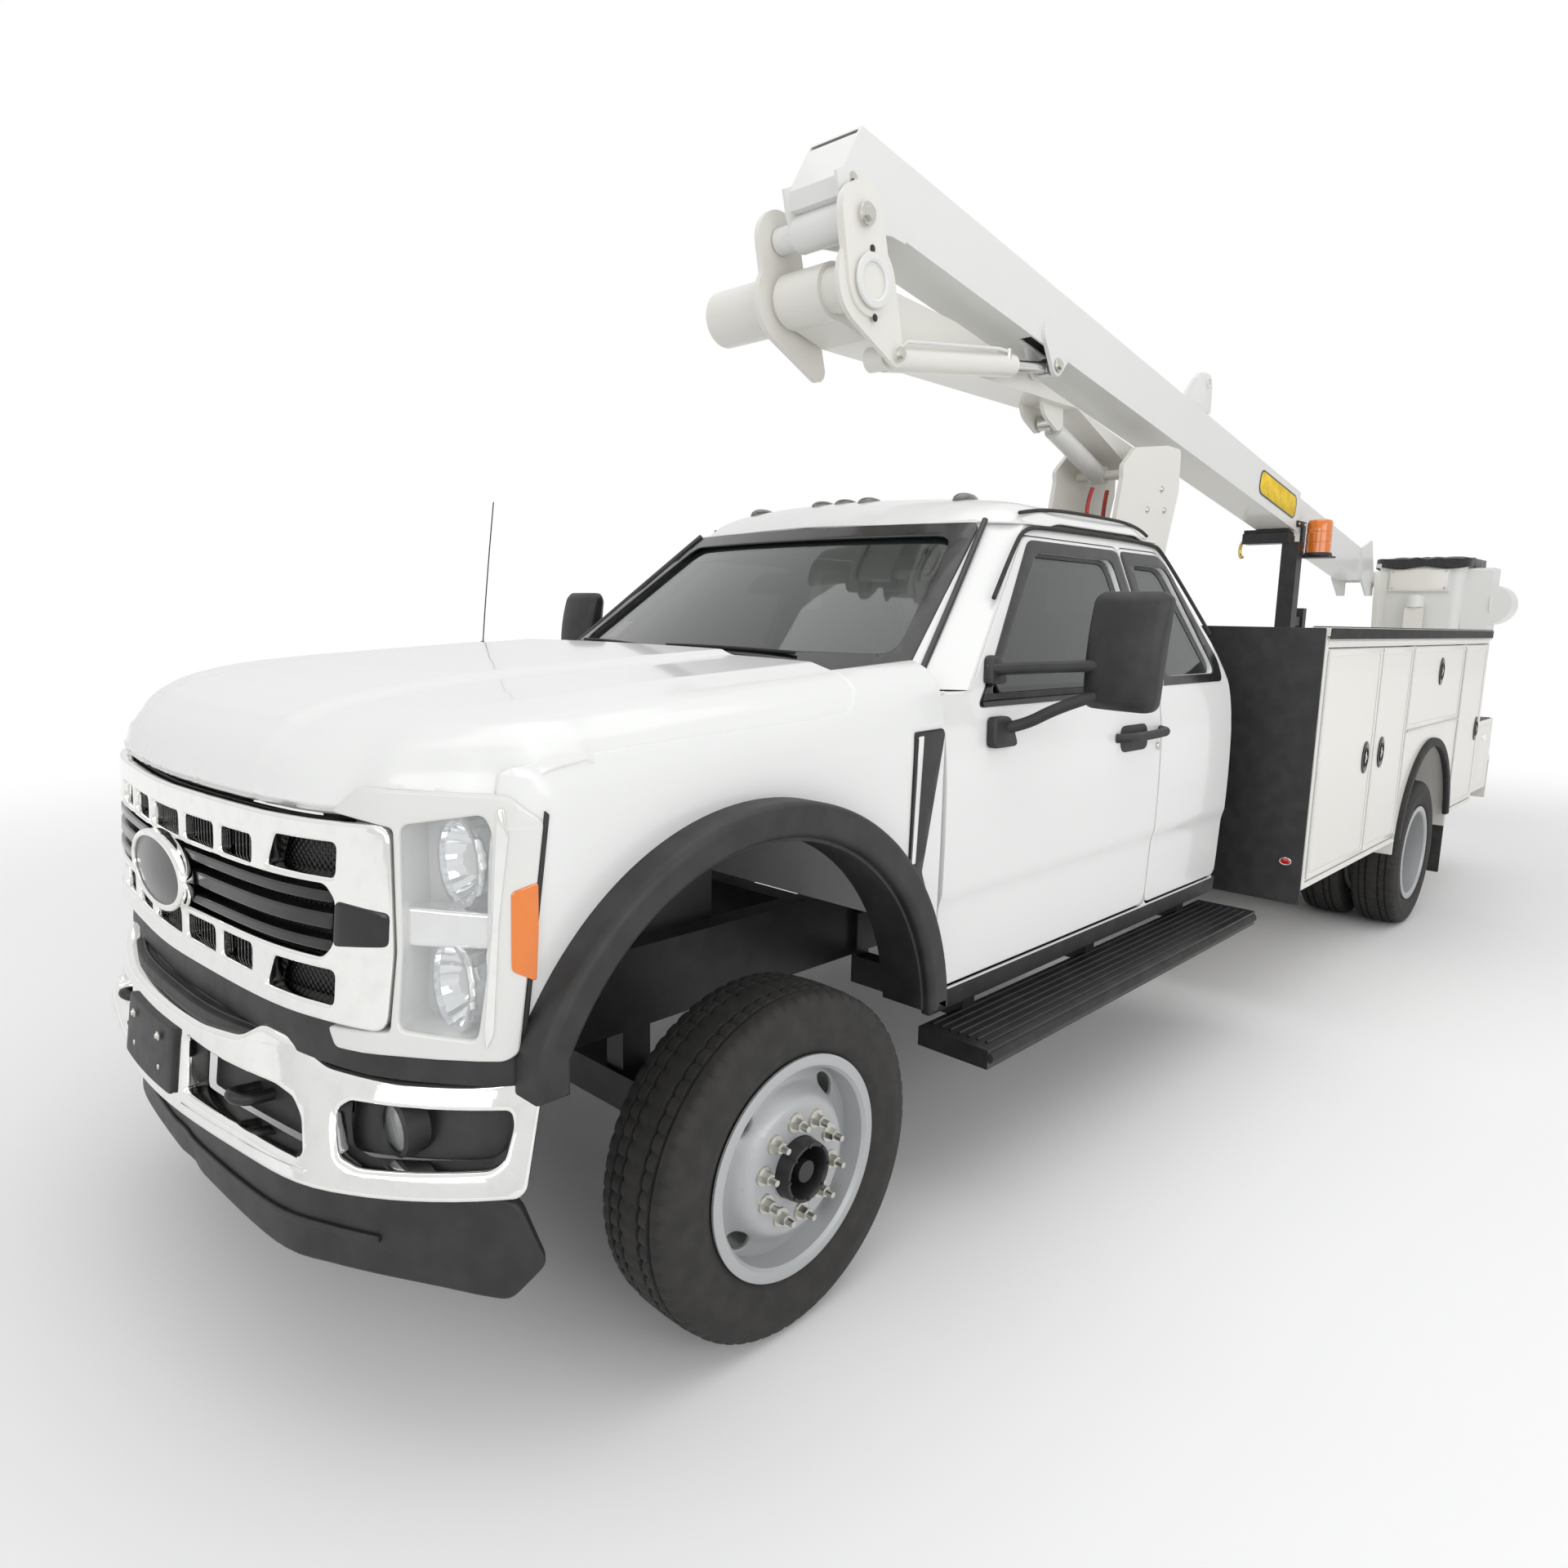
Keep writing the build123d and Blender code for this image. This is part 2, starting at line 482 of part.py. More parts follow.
tail_x = body_rear - 540
tail_shelf = block(tail_x, body_rear, 10 - body_half, body_half - 10, rail_top, rail_top + 30)
tail_shelf += block(tail_x, tail_x + 20, 10 - body_half, body_half - 10, 520, rail_top + 1)
tail_shelf += both(block(tail_x + 50, body_rear, body_half - 300, body_half - 10, 600, 1060))
hitch_plate = block(tail_x, tail_x + 20, -280, 280, 400, 521)
hitch_y, hitch_z, hitch_hole = 200, (430, 490), 9  # M16 clearance holes
for z in hitch_z:
    hitch_plate -= both(Pos(tail_x, hitch_y, z) * Rot(0, 90, 0) * Cylinder(hitch_hole, 100))

# ---- lift: pedestal, turret, booms ----
pedestal = flat_prism(Pos(turret_x, 0) * Rectangle(620, 560), floor_z, floor_z + 25)
pedestal += loft([Plane.XY.offset(floor_z + 20) * Pos(turret_x, 0) * Rectangle(520, 520), Plane.XY.offset(bearing_z - 90) * Pos(turret_x, 0) * Rectangle(420, 420)], ruled=True)
pedestal += upright(turret_x, 0, 290, bearing_z - 95, bearing_z - seat)

turret_top = ((-3060, bearing_z + 40), (-3176, 2325), (-3168, 2379), (-3288, 2476), (-3640, 2528), (-3800, 2528), (-3808, 2323), (-3640, bearing_z + 40))
turret_side = fillet(poly(*turret_top).vertices(), 25)
turret = upright(turret_x, 0, 300, bearing_z, bearing_z + 45)
turret += side_prism(turret_side, near_plate, near_plate + plate)
turret += side_prism(turret_side, far_plate, far_plate + plate)
turret += block(-3640, -3600, far_plate + 5, near_plate + 5, bearing_z + 40, 2150)
turret += cross_bar(*lower_pin, 28, far_plate, near_plate + plate)
turret += cross_bar(*lift_base, 22, far_plate, near_plate + plate)

lower_near, lower_far = 8, -200
lower_mid = (lower_near + lower_far) / 2
lower_outline = poly((-1230, 2838), (-1950, 2795), (-3600, 2510), (-3700, 2505), (-3760, 2450), (-3700, 2395), (-3560, 2400), (-2950, 2620), (-1400, 2620), (-1230, 2660))
lower_boom = side_prism(lower_outline, lower_far, lower_near)
lower_boom -= side_prism(poly((-1500, 2812), (-1950, 2783), (-3400, 2532), (-3400, 2470), (-2950, 2634), (-1500, 2634)), lower_far + 12, lower_near - 12)
lower_boom += cross_bar(*hub, 95, lower_far, lower_near) + cross_bar(*lower_pin, 62, lower_far - 5, near_plate - 6)
lower_boom -= cross_bar(*hub, 78 + seat, lower_far - 5, lower_near + 5)
lower_boom -= cross_bar(*lower_pin, 28 + seat, lower_far - 50, near_plate + 5)
lift_lug = link(lift_eye, 42, (lift_eye[0] + 60, 2635), 90)
lower_boom -= cross_bar(*lift_eye, 104, lower_mid - 40, lower_mid + 40)  # room for the rod's eye
for y0 in (lower_mid - 62, lower_mid + 44):
    lower_boom += side_prism(lift_lug & poly((-3100, 2400), (-2500, 2400), (-2500, 2640), (-3100, 2640)), y0, y0 + 18)

knuckle_near = 135
elbow_link = link(elbow, 105, hub, 110)
arm_link = link(hub, 150, arm, 40)
elbow_knuckle = side_prism(elbow_link, knuckle_near, knuckle_near + 30) + side_prism(arm_link, knuckle_near, knuckle_near + 18)
elbow_knuckle += side_prism(elbow_link, far_plate - 12, far_plate + 10) + side_prism(arm_link, far_plate - 12, far_plate + 10)
elbow_knuckle += cross_bar(*hub, 78, -520, knuckle_near + 40) + Pos(hub[0], -520, hub[1]) * Rot(90, 0, 0) * Cylinder(100, 60)
elbow_knuckle += cross_bar(*hub, 100, -520, far_plate - 12)
elbow_knuckle += cross_bar(*elbow, 24, far_plate - 12, knuckle_near + 48)
elbow_knuckle += cross_bar(*arm, 20, 30, knuckle_near + 36)

down = Rot(0, -boom_slope, 0)


def along(u, w):
    """Point of the boom's own frame: u back from the elbow pin, w up from the boom's floor line."""
    a = radians(boom_slope)
    return (elbow[0] - u * cos(a) + w * sin(a) * 1, elbow[1] + boom_lift - u * sin(a) + w * cos(a))


boom_lift = 50  # boom's floor line above the elbow pin
boom_end = 4680  # elbow pin to the mouth of the upper boom
fly_start, fly_end = 1900, 6330


def boom_box(u0, u1, w0, w1, half):
    return side_prism(poly(along(u0, w0), along(u1, w0), along(u1, w1), along(u0, w1)), -half, half)


nose_cut = poly(along(-60, 0), along(-60, 60), along(78, boom_h), along(boom_end, boom_h), along(boom_end, 0))
upper_boom = side_prism(nose_cut, -boom_w / 2, boom_w / 2)
upper_boom -= boom_box(60, boom_end + 10, boom_wall, boom_h - boom_wall, boom_w / 2 - boom_wall)
cheek = poly(along(-78, -20), along(-85, 60), along(60, 150), along(330, 110), along(330, 40), along(280, -15), along(200, -22), along(110, -48), along(0, -118 + 30), along(-60, -70))
upper_boom += side_prism(cheek, boom_w / 2 - 4, boom_w / 2 + 8) + side_prism(cheek, -boom_w / 2 - 8, -boom_w / 2 + 4)
upper_boom += cross_bar(*elbow, 62, -boom_w / 2, boom_w / 2)
upper_boom += cross_bar(*elbow, 45, far_plate + 16, knuckle_near - 6)
upper_boom -= cross_bar(*elbow, 24 + seat, -400, 400)
for x in (lug[0], lug[0] + 110):  # room for the rod and its eye
    upper_boom -= cross_bar(x, lug[1], 112, 44, boom_w / 2 - boom_wall)
lug_shape = make_hull(Sketch(children=[disc(*lug, 42), disc(lug[0] + 60, lug[1] + 120, 60), disc(lug[0] - 90, lug[1] + 80, 30)]).edges())
tilt_lug = side_prism(lug_shape, boom_w / 2 + seat, 133) + cross_bar(*lug, 20, 118, 138)
tilt_lug += side_prism(lug_shape, 18, 32) & side_prism(poly(along(1000, -120), along(1700, -120), along(1700, -seat), along(1000, -seat)), 0, 60)
stay_ear = poly(along(2760, boom_h - 2), along(2900, boom_h + 130), along(2960, boom_h + 160), along(3040, boom_h + 130), along(3060, boom_h - 2))
upper_boom += side_prism(stay_ear, 95, 113) - cross_bar(-4156, 2927, 16, 0, 200)
for pad in (boom_box(boom_end - 100, boom_end, boom_wall, 19 - seat, 60), boom_box(boom_end - 100, boom_end, 19 + fly_h + seat, boom_h - boom_wall, 60)):
    upper_boom += pad
for side in (-1, 1):
    pad = boom_box(boom_end - 100, boom_end, 60, 200, boom_w / 2 - boom_wall + 1) - boom_box(boom_end - 101, boom_end + 1, 59, 201, fly_w / 2 + seat)
    upper_boom += pad
fly_boom = boom_box(fly_start, fly_end, 19, 19 + fly_h, fly_w / 2) - boom_box(fly_start - 1, fly_end - 20, 27, 11 + fly_h, fly_w / 2 - 8)
flange = poly(along(6230, fly_h + 20), along(6480, fly_h + 130), along(6580, 60), along(6560, -60), along(6400, -90), along(6230, 15))
fly_boom += side_prism(flange, fly_w / 2 - 2, fly_w / 2 + 14) + side_prism(flange, -fly_w / 2 - 14, -fly_w / 2 + 2)
fly_boom += cross_bar(*tip, 26, -120, 120)


def cylinder_pair(base, eye, y, barrel_radius, rod_radius, barrel_length, rod_length, eye_width, base_pin, rod_eye):
    """Barrel with its base eye, and rod with its own eye and pin."""
    ax, az = base
    bx, bz = eye
    length = hypot(bx - ax, bz - az)
    ux, uz = (bx - ax) / length, (bz - az) / length
    at = lambda s: (ax + ux * s, y, az + uz * s)
    barrel = bar(at(25), at(barrel_length), barrel_radius) + cross_bar(ax, az, barrel_radius - 2, y - eye_width / 2, y + eye_width / 2)
    barrel = barrel - bar(at(60), at(barrel_length + 1), barrel_radius - 8) + bar(at(barrel_length - 20), at(barrel_length), barrel_radius - 1)
    barrel = barrel - bar(at(60), at(barrel_length + 1), rod_radius + 0.5) - cross_bar(ax, az, base_pin + seat, y - 200, y + 200)
    rod = bar(at(length - rod_length), at(length - 20), rod_radius) + cross_bar(bx, bz, rod_radius + 12, y - rod_eye / 2, y + rod_eye / 2)
    rod += bar(at(length - rod_length), at(length - rod_length + 20), barrel_radius - 9)
    return barrel, rod


lift_barrel, lift_rod = cylinder_pair(lift_base, lift_eye, lower_mid, 45, 24, 500, 503, 76, 22, 64)
tilt_barrel, tilt_rod = cylinder_pair(arm, lug, 76, 46, 24, 860, 1080, 84, 20, 48)

# ---- boom rest, bucket ----
rest_x = body_rear + 410


def floor_at(x):
    """Height of the boom's floor line at a station."""
    return along((elbow[0] - x) / cos(radians(boom_slope)), 0)[1]


beacon_x, beacon_y, beacon_low = -5860, 225, 2100
arm_in, arm_out = boom_w / 2 + seat, boom_w / 2 + 11
beacon_arm = block(beacon_x - 40, -5730, arm_in, arm_out, 2285, 2325) + block(beacon_x - 40, beacon_x + 40, arm_in, arm_out, beacon_low - 12, 2325)
beacon_arm += block(beacon_x - 90, beacon_x + 70, arm_in, beacon_y + 90, beacon_low - 12, beacon_low)
pad = 30  # thickness of the rubber pad between saddle and boom
saddle = poly((rest_x + 60, floor_at(rest_x + 60) - pad), (rest_x - 60, floor_at(rest_x - 60) - pad), (rest_x - 60, floor_at(rest_x) - pad - 58), (rest_x + 60, floor_at(rest_x) - pad - 58))
boom_rest = block(rest_x - 50, rest_x + 50, 65, 165, floor_z, floor_at(rest_x) - pad - 52) + side_prism(saddle, -190, 105)
boom_rest += block(rest_x - 352, rest_x - 288, 68, 132, floor_z, 1760) + block(rest_x - 352, rest_x, 80, 120, 1640, 1700)
beacon = upright(beacon_x, beacon_y, 78, beacon_low, beacon_low + 238)
beacon = fillet(beacon.edges().filter_by(GeomType.CIRCLE).sort_by(Axis.Z)[-1], 14) + beacon_arm

mount_y = 133
bucket_mount = side_prism(rounded(30, (-7590, 2080), (-7590, 1960), (-7660, 1500), (-7830, 1500), (-7830, 2080)), mount_y, mount_y + 34)
bucket_mount += cross_bar(*tip, 60, 109 + seat, mount_y + 30)
bucket_mount += block(-7830, -7700, mount_y + 2, bucket_y + 70, 1500, 1560) + block(-7830, -7760, bucket_y - 60, bucket_y + 60, 1500, 1800)
spin_x = -7800
bucket_mount += upright(spin_x, bucket_y, 40, 1560, 1900)
bucket_mount -= cross_bar(*tip, 26 + seat, -200, 126)
half_bucket = bucket_size / 2
lip = 45


def bucket_loft(inset, z0, z1):
    foot = Plane.XY.offset(z0) * Pos(bucket_x, bucket_y) * RectangleRounded(bucket_size - 60 - 2 * inset, bucket_size - 60 - 2 * inset, 60)
    head = Plane.XY.offset(z1) * Pos(bucket_x, bucket_y) * RectangleRounded(bucket_size - 2 * inset, bucket_size - 2 * inset, 70)
    return loft([foot, head], ruled=True)


bucket = bucket_loft(0, bucket_low, bucket_rim) - bucket_loft(8, bucket_low + 12, bucket_rim + 1)
bucket += (flat_prism(Pos(bucket_x, bucket_y) * (RectangleRounded(bucket_size + lip, bucket_size + lip, 80) - RectangleRounded(bucket_size - 20, bucket_size - 20, 60)), bucket_rim - 30, bucket_rim))
bucket_front = bucket_x + half_bucket
sleeve = upright(spin_x, bucket_y, 62, 1806, 1890)
bucket += sleeve - upright(spin_x, bucket_y, 40 + seat, 1500, 2000)
bucket += block(bucket_front - 12, spin_x - 45, bucket_y - 40, bucket_y + 40, 1812, 1884)
console = block(bucket_front - 12, bucket_front + 18, 175, 590, 1930, 2110)
bucket += console
side_case = side_prism(rounded(20, (-7935, 1560), (-8200, 1560), (-8200, 2110), (-7935, 2110)), bucket_y + half_bucket - 12, 860)
side_case += Pos(0, 0, 0) * cross_prism(Pos(850, 1830) * Circle(150), -8200, -7935)
bucket += side_case
bucket_cover = flat_prism(Pos(bucket_x, bucket_y) * RectangleRounded(bucket_size + 60, bucket_size + 60, 90), bucket_rim + 0.5, bucket_rim + 60)

# ---- cab trim ----
board = block(-2640, -680, 880, 1110, 440, 495)
for x in (-900, -1650, -2400):
    board += block(x - 30, x + 30, rail_half + 38 + seat, 900, 470, 560) + block(x - 30, x + 30, rail_half + 38 + seat, rail_half + 60, 560, 700)
running_boards = both(board)


def door_mirror():
    arms = bar((-860, 930, 1500), (-1000, 1190, 1520), 14) + bar((-860, 955, 1330), (-1000, 1190, 1440), 14)
    head = side_prism(rounded(30, (-960, 1400), (-1075, 1400), (-1095, 1720), (-985, 1720)), 1140, 1360)
    return arms + head + block(-900, -820, 900, 960, 1310, 1360) + block(-900, -820, 880, 940, 1480, 1520)


roof_lamps = []
for x, y in ((-1330, 0), (-1330, 110), (-1330, -110), (-1380, 480), (-1380, -480)):
    roof_lamps.append(Pos(x, y, roof_z - 2) * Sphere(42) & block(x - 60, x + 60, y - 60, y + 60, roof_z + 0.5, roof_z + 60))
interior = []
for y in (-420, 420):
    for x in (-1500,):
        cushion = block(x - 250, x + 280, y - 250, y + 250, 1000, 1140)
        back = side_prism(rounded(40, (x - 250, 1100), (x - 380, 1660), (x - 260, 1660), (x - 120, 1100)), y - 240, y + 240)
        rest = block(x - 375, x - 275, y - 120, y + 120, 1650, 1830)
        pedestal_seat = block(x - 180, x + 200, y - 200, y + 200, cab_floor + 0.3, 1001)
        interior.append(cushion + back + rest + pedestal_seat)
interior.append(block(-2450, -2080, -700, 700, cab_floor + 0.3, 1100) + block(-2450, -2330, -700, 700, 1090, 1500))
dash = side_prism(rounded(50, (-660 - seat, 1030), (-660 - seat, 1430), (-760, 1440), (-960, 1340), (-930, 1080)), -850, 850)
column = bar((-900, 420, 1300), (-1080, 420, 1380), 28)
wheel_axis = Plane(Vector(-1090, 420, 1385), z_dir=(-0.91, 0, 0.41))
steer = Solid.make_torus(190, 15, wheel_axis) + Solid.make_cylinder(45, 30, Plane(Vector(-1077, 420, 1379), z_dir=(-0.91, 0, 0.41)))
for k in range(3):
    turn = wheel_axis * Rot(0, 0, 90 + 120 * k) * Pos(95, 0, 0) * Box(190, 26, 14)
    steer += turn
interior.append(dash + column + steer)
cab_interior = Compound(children=[s for p in interior for s in p.solids()])

tail_lamps = both(block(body_rear - 22, body_rear - 0.3, 1010, 1110, 1130, 1330))
head_lamps = both(lamp_left)
lamps = Compound(children=list(head_lamps.solids()) + list(tail_lamps.solids()) + [s for l in roof_lamps for s in l.solids()])

flares = both(flare_left + rear_flare)
flaps = both(mud_flap)
flares_and_flaps = Compound(children=list(both(flare_left).solids()) + list(both(rear_flare).solids()) + list(flaps.solids()))


front_door = front_door - edge_relief(door_split + gap / 2, 1)
rear_door = rear_door - edge_relief(door_split - gap / 2, -1)

nodes = {
    "frame_rails": frame_rails,
    "front_axle": front_axle,
    "rear_axle": rear_axle,
    "engine_block": engine_block,
    "cab_shell": cab_shell,
    "cab_glass": cab_glass,
    "cab_interior": cab_interior,
    "fenders": fenders,
    "flares_and_flaps": flares_and_flaps,
    "grille": grille,
    "lamps": lamps,
    "front_bumper": front_bumper,
    "air_dam": Compound(children=[s for p in (air_dam, step_pad, fog_pockets, lower_trim, upper_trim) for s in p.solids()]),
    "running_boards": running_boards,
    "service_body": service_body,
    "tail_shelf": tail_shelf + hitch_plate,
    "boom_rest": boom_rest,
    "tilt_lug": tilt_lug,
    "beacon": beacon,
    "pedestal": pedestal,
    "hood": hood,
    "turret": turret,
    "lower_boom": lower_boom,
    "elbow_knuckle": elbow_knuckle,
    "upper_boom": upper_boom,
    "fly_boom": fly_boom,
    "lift_barrel": lift_barrel,
    "lift_rod": lift_rod,
    "tilt_barrel": tilt_barrel,
    "tilt_rod": tilt_rod,
    "bucket_mount": bucket_mount,
    "bucket": bucket,
    "bucket_cover": bucket_cover,
}
paired = {
    "door": front_door,
    "door_glass": front_glass,
    "rear_door": rear_door,
    "rear_door_glass": rear_glass,
    "mirror": door_mirror() - cab_outer,
    "steer_knuckle": knuckle,
    "front_tyre": front_tyre,
    "front_rim": front_rim,
    "rear_tyres": rear_tyres,
    "rear_rims": rear_rims,
    **body_doors,
}
for name, shape in paired.items():
    nodes[name + "_left"] = shape
    nodes[name + "_right"] = other(shape)

os.makedirs("parts", exist_ok=True)
for name, shape in nodes.items():
    export_step(place(shape), f"parts/{name}.step")
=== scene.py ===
import bpy
import bmesh
import json
import math
import numpy as np
from mathutils import Vector, Matrix


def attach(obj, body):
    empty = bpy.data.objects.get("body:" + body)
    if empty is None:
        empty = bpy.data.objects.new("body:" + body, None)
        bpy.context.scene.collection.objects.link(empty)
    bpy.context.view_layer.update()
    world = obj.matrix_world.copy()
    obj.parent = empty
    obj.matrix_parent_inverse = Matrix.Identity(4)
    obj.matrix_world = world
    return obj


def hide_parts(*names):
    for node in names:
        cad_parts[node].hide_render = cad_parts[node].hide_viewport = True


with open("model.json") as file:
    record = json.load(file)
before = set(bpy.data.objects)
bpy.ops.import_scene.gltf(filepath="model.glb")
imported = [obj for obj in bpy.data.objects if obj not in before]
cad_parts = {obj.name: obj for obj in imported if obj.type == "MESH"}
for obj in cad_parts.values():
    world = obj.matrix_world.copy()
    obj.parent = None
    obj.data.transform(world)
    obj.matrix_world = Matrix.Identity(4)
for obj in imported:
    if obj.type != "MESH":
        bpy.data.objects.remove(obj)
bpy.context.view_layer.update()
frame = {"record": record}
shift = 3.7465  # lengths are measured from the front axle; the frame's origin lies this far behind it

# camera: focal length and sensor in mm, place in metres, and its three axes
cameraView = {
    "focal": 23.502,
    "sensor": 36,
    "shiftX": 0.0008,
    "shiftY": -0.0016,
    "place": (1.58634, 2.50367, 1.63513),
    "right": (-0.69479, 0.71895, 0.01946),
    "up": (-0.101075, -0.1244, 0.98707),
    "back": (0.712075, 0.68384, 0.1591),
}


def makeCamera():
    data = bpy.data.cameras.new("camera")
    data.sensor_width = cameraView["sensor"]
    data.lens = cameraView["focal"]
    data.shift_x = cameraView["shiftX"]
    data.shift_y = cameraView["shiftY"]
    data.clip_end = 200
    cam = bpy.data.objects.new("camera", data)
    right, up, back = (Vector(cameraView[k]) for k in ("right", "up", "back"))
    x, y, z = cameraView["place"]
    cam.matrix_world = Matrix(((right.x, up.x, back.x, x + shift), (right.y, up.y, back.y, y),
        (right.z, up.z, back.z, z), (0, 0, 0, 1)))
    bpy.context.scene.collection.objects.link(cam)
    bpy.context.scene.camera = cam


makeCamera()


# materials: a socket with arithmetic, and a recipe per surface
# A socket that takes arithmetic: each operator adds a Math node.
class Sock:
    def __init__(self, tree, out):
        self.tree = tree
        self.out = out

    def op(self, kind, *others):
        node = self.tree.nodes.new("ShaderNodeMath")
        node.operation = kind
        for slot, value in zip(node.inputs, (self, *others)):
            if isinstance(value, Sock):
                self.tree.links.new(value.out, slot)
            else:
                slot.default_value = value
        return Sock(self.tree, node.outputs[0])

    def __add__(self, other):
        return self.op("ADD", other)

    def __radd__(self, other):
        return self.op("ADD", other)

    def __sub__(self, other):
        return self.op("SUBTRACT", other)

    def __rsub__(self, other):
        return self.op("MULTIPLY", -1.0).op("ADD", other)

    def __mul__(self, other):
        return self.op("MULTIPLY", other)

    def __rmul__(self, other):
        return self.op("MULTIPLY", other)

    def step(self, low, high):
        node = self.tree.nodes.new("ShaderNodeMapRange")
        node.interpolation_type = "SMOOTHSTEP"
        node.inputs[1].default_value = low
        node.inputs[2].default_value = high
        self.tree.links.new(self.out, node.inputs[0])
        return Sock(self.tree, node.outputs[0])

    def blend(self, a, b):
        node = self.tree.nodes.new("ShaderNodeMix")
        node.data_type = "RGBA"
        self.tree.links.new(self.out, node.inputs[0])
        for slot, value in ((node.inputs[6], a), (node.inputs[7], b)):
            if isinstance(value, Sock):
                self.tree.links.new(value.out, slot)
            else:
                slot.default_value = (*value, 1)
        return Sock(self.tree, node.outputs[2])


# One material, with the coordinates and noise that feed its surface.
class Shader:
    def __init__(self, name):
        self.mat = bpy.data.materials.new(name)
        self.mat.use_nodes = True
        self.tree = self.mat.node_tree
        self.bsdf = self.tree.nodes["Principled BSDF"]
        self.coords = self.tree.nodes.new("ShaderNodeTexCoord").outputs["Object"]

    def axes(self):
        node = self.tree.nodes.new("ShaderNodeSeparateXYZ")
        self.tree.links.new(self.coords, node.inputs[0])
        return [Sock(self.tree, out) for out in node.outputs]

    def noise(self, scale, detail):
        node = self.tree.nodes.new("ShaderNodeTexNoise")
        node.inputs["Scale"].default_value = scale
        node.inputs["Detail"].default_value = detail
        node.inputs["Roughness"].default_value = 0.5
        self.tree.links.new(self.coords, node.inputs["Vector"])
        return Sock(self.tree, node.outputs["Fac"])

    def put(self, name, value):
        slot = self.bsdf.inputs[name]
        if isinstance(value, Sock):
            self.tree.links.new(value.out, slot)
        elif isinstance(value, tuple):
            slot.default_value = (*value, 1)
        else:
            slot.default_value = value
        return self

    def bump(self, height, strength, distance=0.002):
        node = self.tree.nodes.new("ShaderNodeBump")
        node.inputs["Strength"].default_value = strength
        node.inputs["Distance"].default_value = distance
        self.tree.links.new(height.out, node.inputs["Height"])
        self.tree.links.new(node.outputs[0], self.bsdf.inputs["Normal"])
        return self


# Paint: a soft cloud of shade, a clear coat and a little orange peel.
def paint(name, color, rough=0.3, metal=0.0, coat=0.6, peel=0.06, shade=0.06):
    s = Shader(name)
    cloud = s.noise(0.8, 3).step(0.2, 0.8)
    dark = tuple(c * (1 - shade * 0.4) for c in color)
    s.put("Base Color", cloud.blend(dark, color))
    s.put("Roughness", s.noise(5, 4) * 0.03 + (rough - 0.015))
    s.put("Metallic", metal).put("Coat Weight", coat).put("Coat Roughness", 0.06)
    return s.bump(s.noise(260, 2), peel, 0.001).mat


# Plastic: paler spots and a fine grain.
def plastic(name, color, rough=0.55, grain=700, depth=0.25):
    s = Shader(name)
    spots = s.noise(14, 5).step(0.35, 0.7)
    s.put("Base Color", spots.blend(color, tuple(c * 1.35 + 0.006 for c in color)))
    s.put("Roughness", s.noise(30, 3) * 0.16 + (rough - 0.08))
    return s.bump(s.noise(grain, 2), depth, 0.0006).mat


# Bare metal: a slight wave, with patches a little darker.
def metal(name, color, rough, wave=0.03, scale=40):
    s = Shader(name)
    s.put("Base Color", s.noise(25, 4).step(0.4, 0.75).blend(color, tuple(c * 0.95 for c in color)))
    s.put("Metallic", 1.0).put("Roughness", s.noise(60, 4) * 0.03 + rough)
    return s.bump(s.noise(scale, 2), wave, 0.001).mat


# Lens plastic that lets some light through.
def clearPlastic(name, color, alpha, rough=0.08):
    s = Shader(name)
    s.put("Base Color", color).put("Roughness", s.noise(20, 3) * 0.05 + rough)
    s.put("Alpha", s.noise(6, 2) * 0.06 + alpha).put("Coat Weight", 1.0).put("IOR", 1.5)
    return s.bump(s.noise(30, 1), 0.02, 0.001).mat


# Cloth: two crossed sines make the weave.
def fabric(name, color, scale):
    s = Shader(name)
    x, y, z = s.axes()
    weave = (x + y).op("MULTIPLY", scale * 1.3).op("SINE") * (z * (scale * 1.3)).op("SINE")
    s.put("Base Color", s.noise(60, 4).step(0.3, 0.7).blend(color,
        tuple(c * 1.7 + 0.01 for c in color)))
    s.put("Roughness", weave * 0.06 + 0.82).put("Sheen Weight", 0.4)
    return s.bump(weave + s.noise(120, 4) * 2.0, 0.5, 0.0008).mat


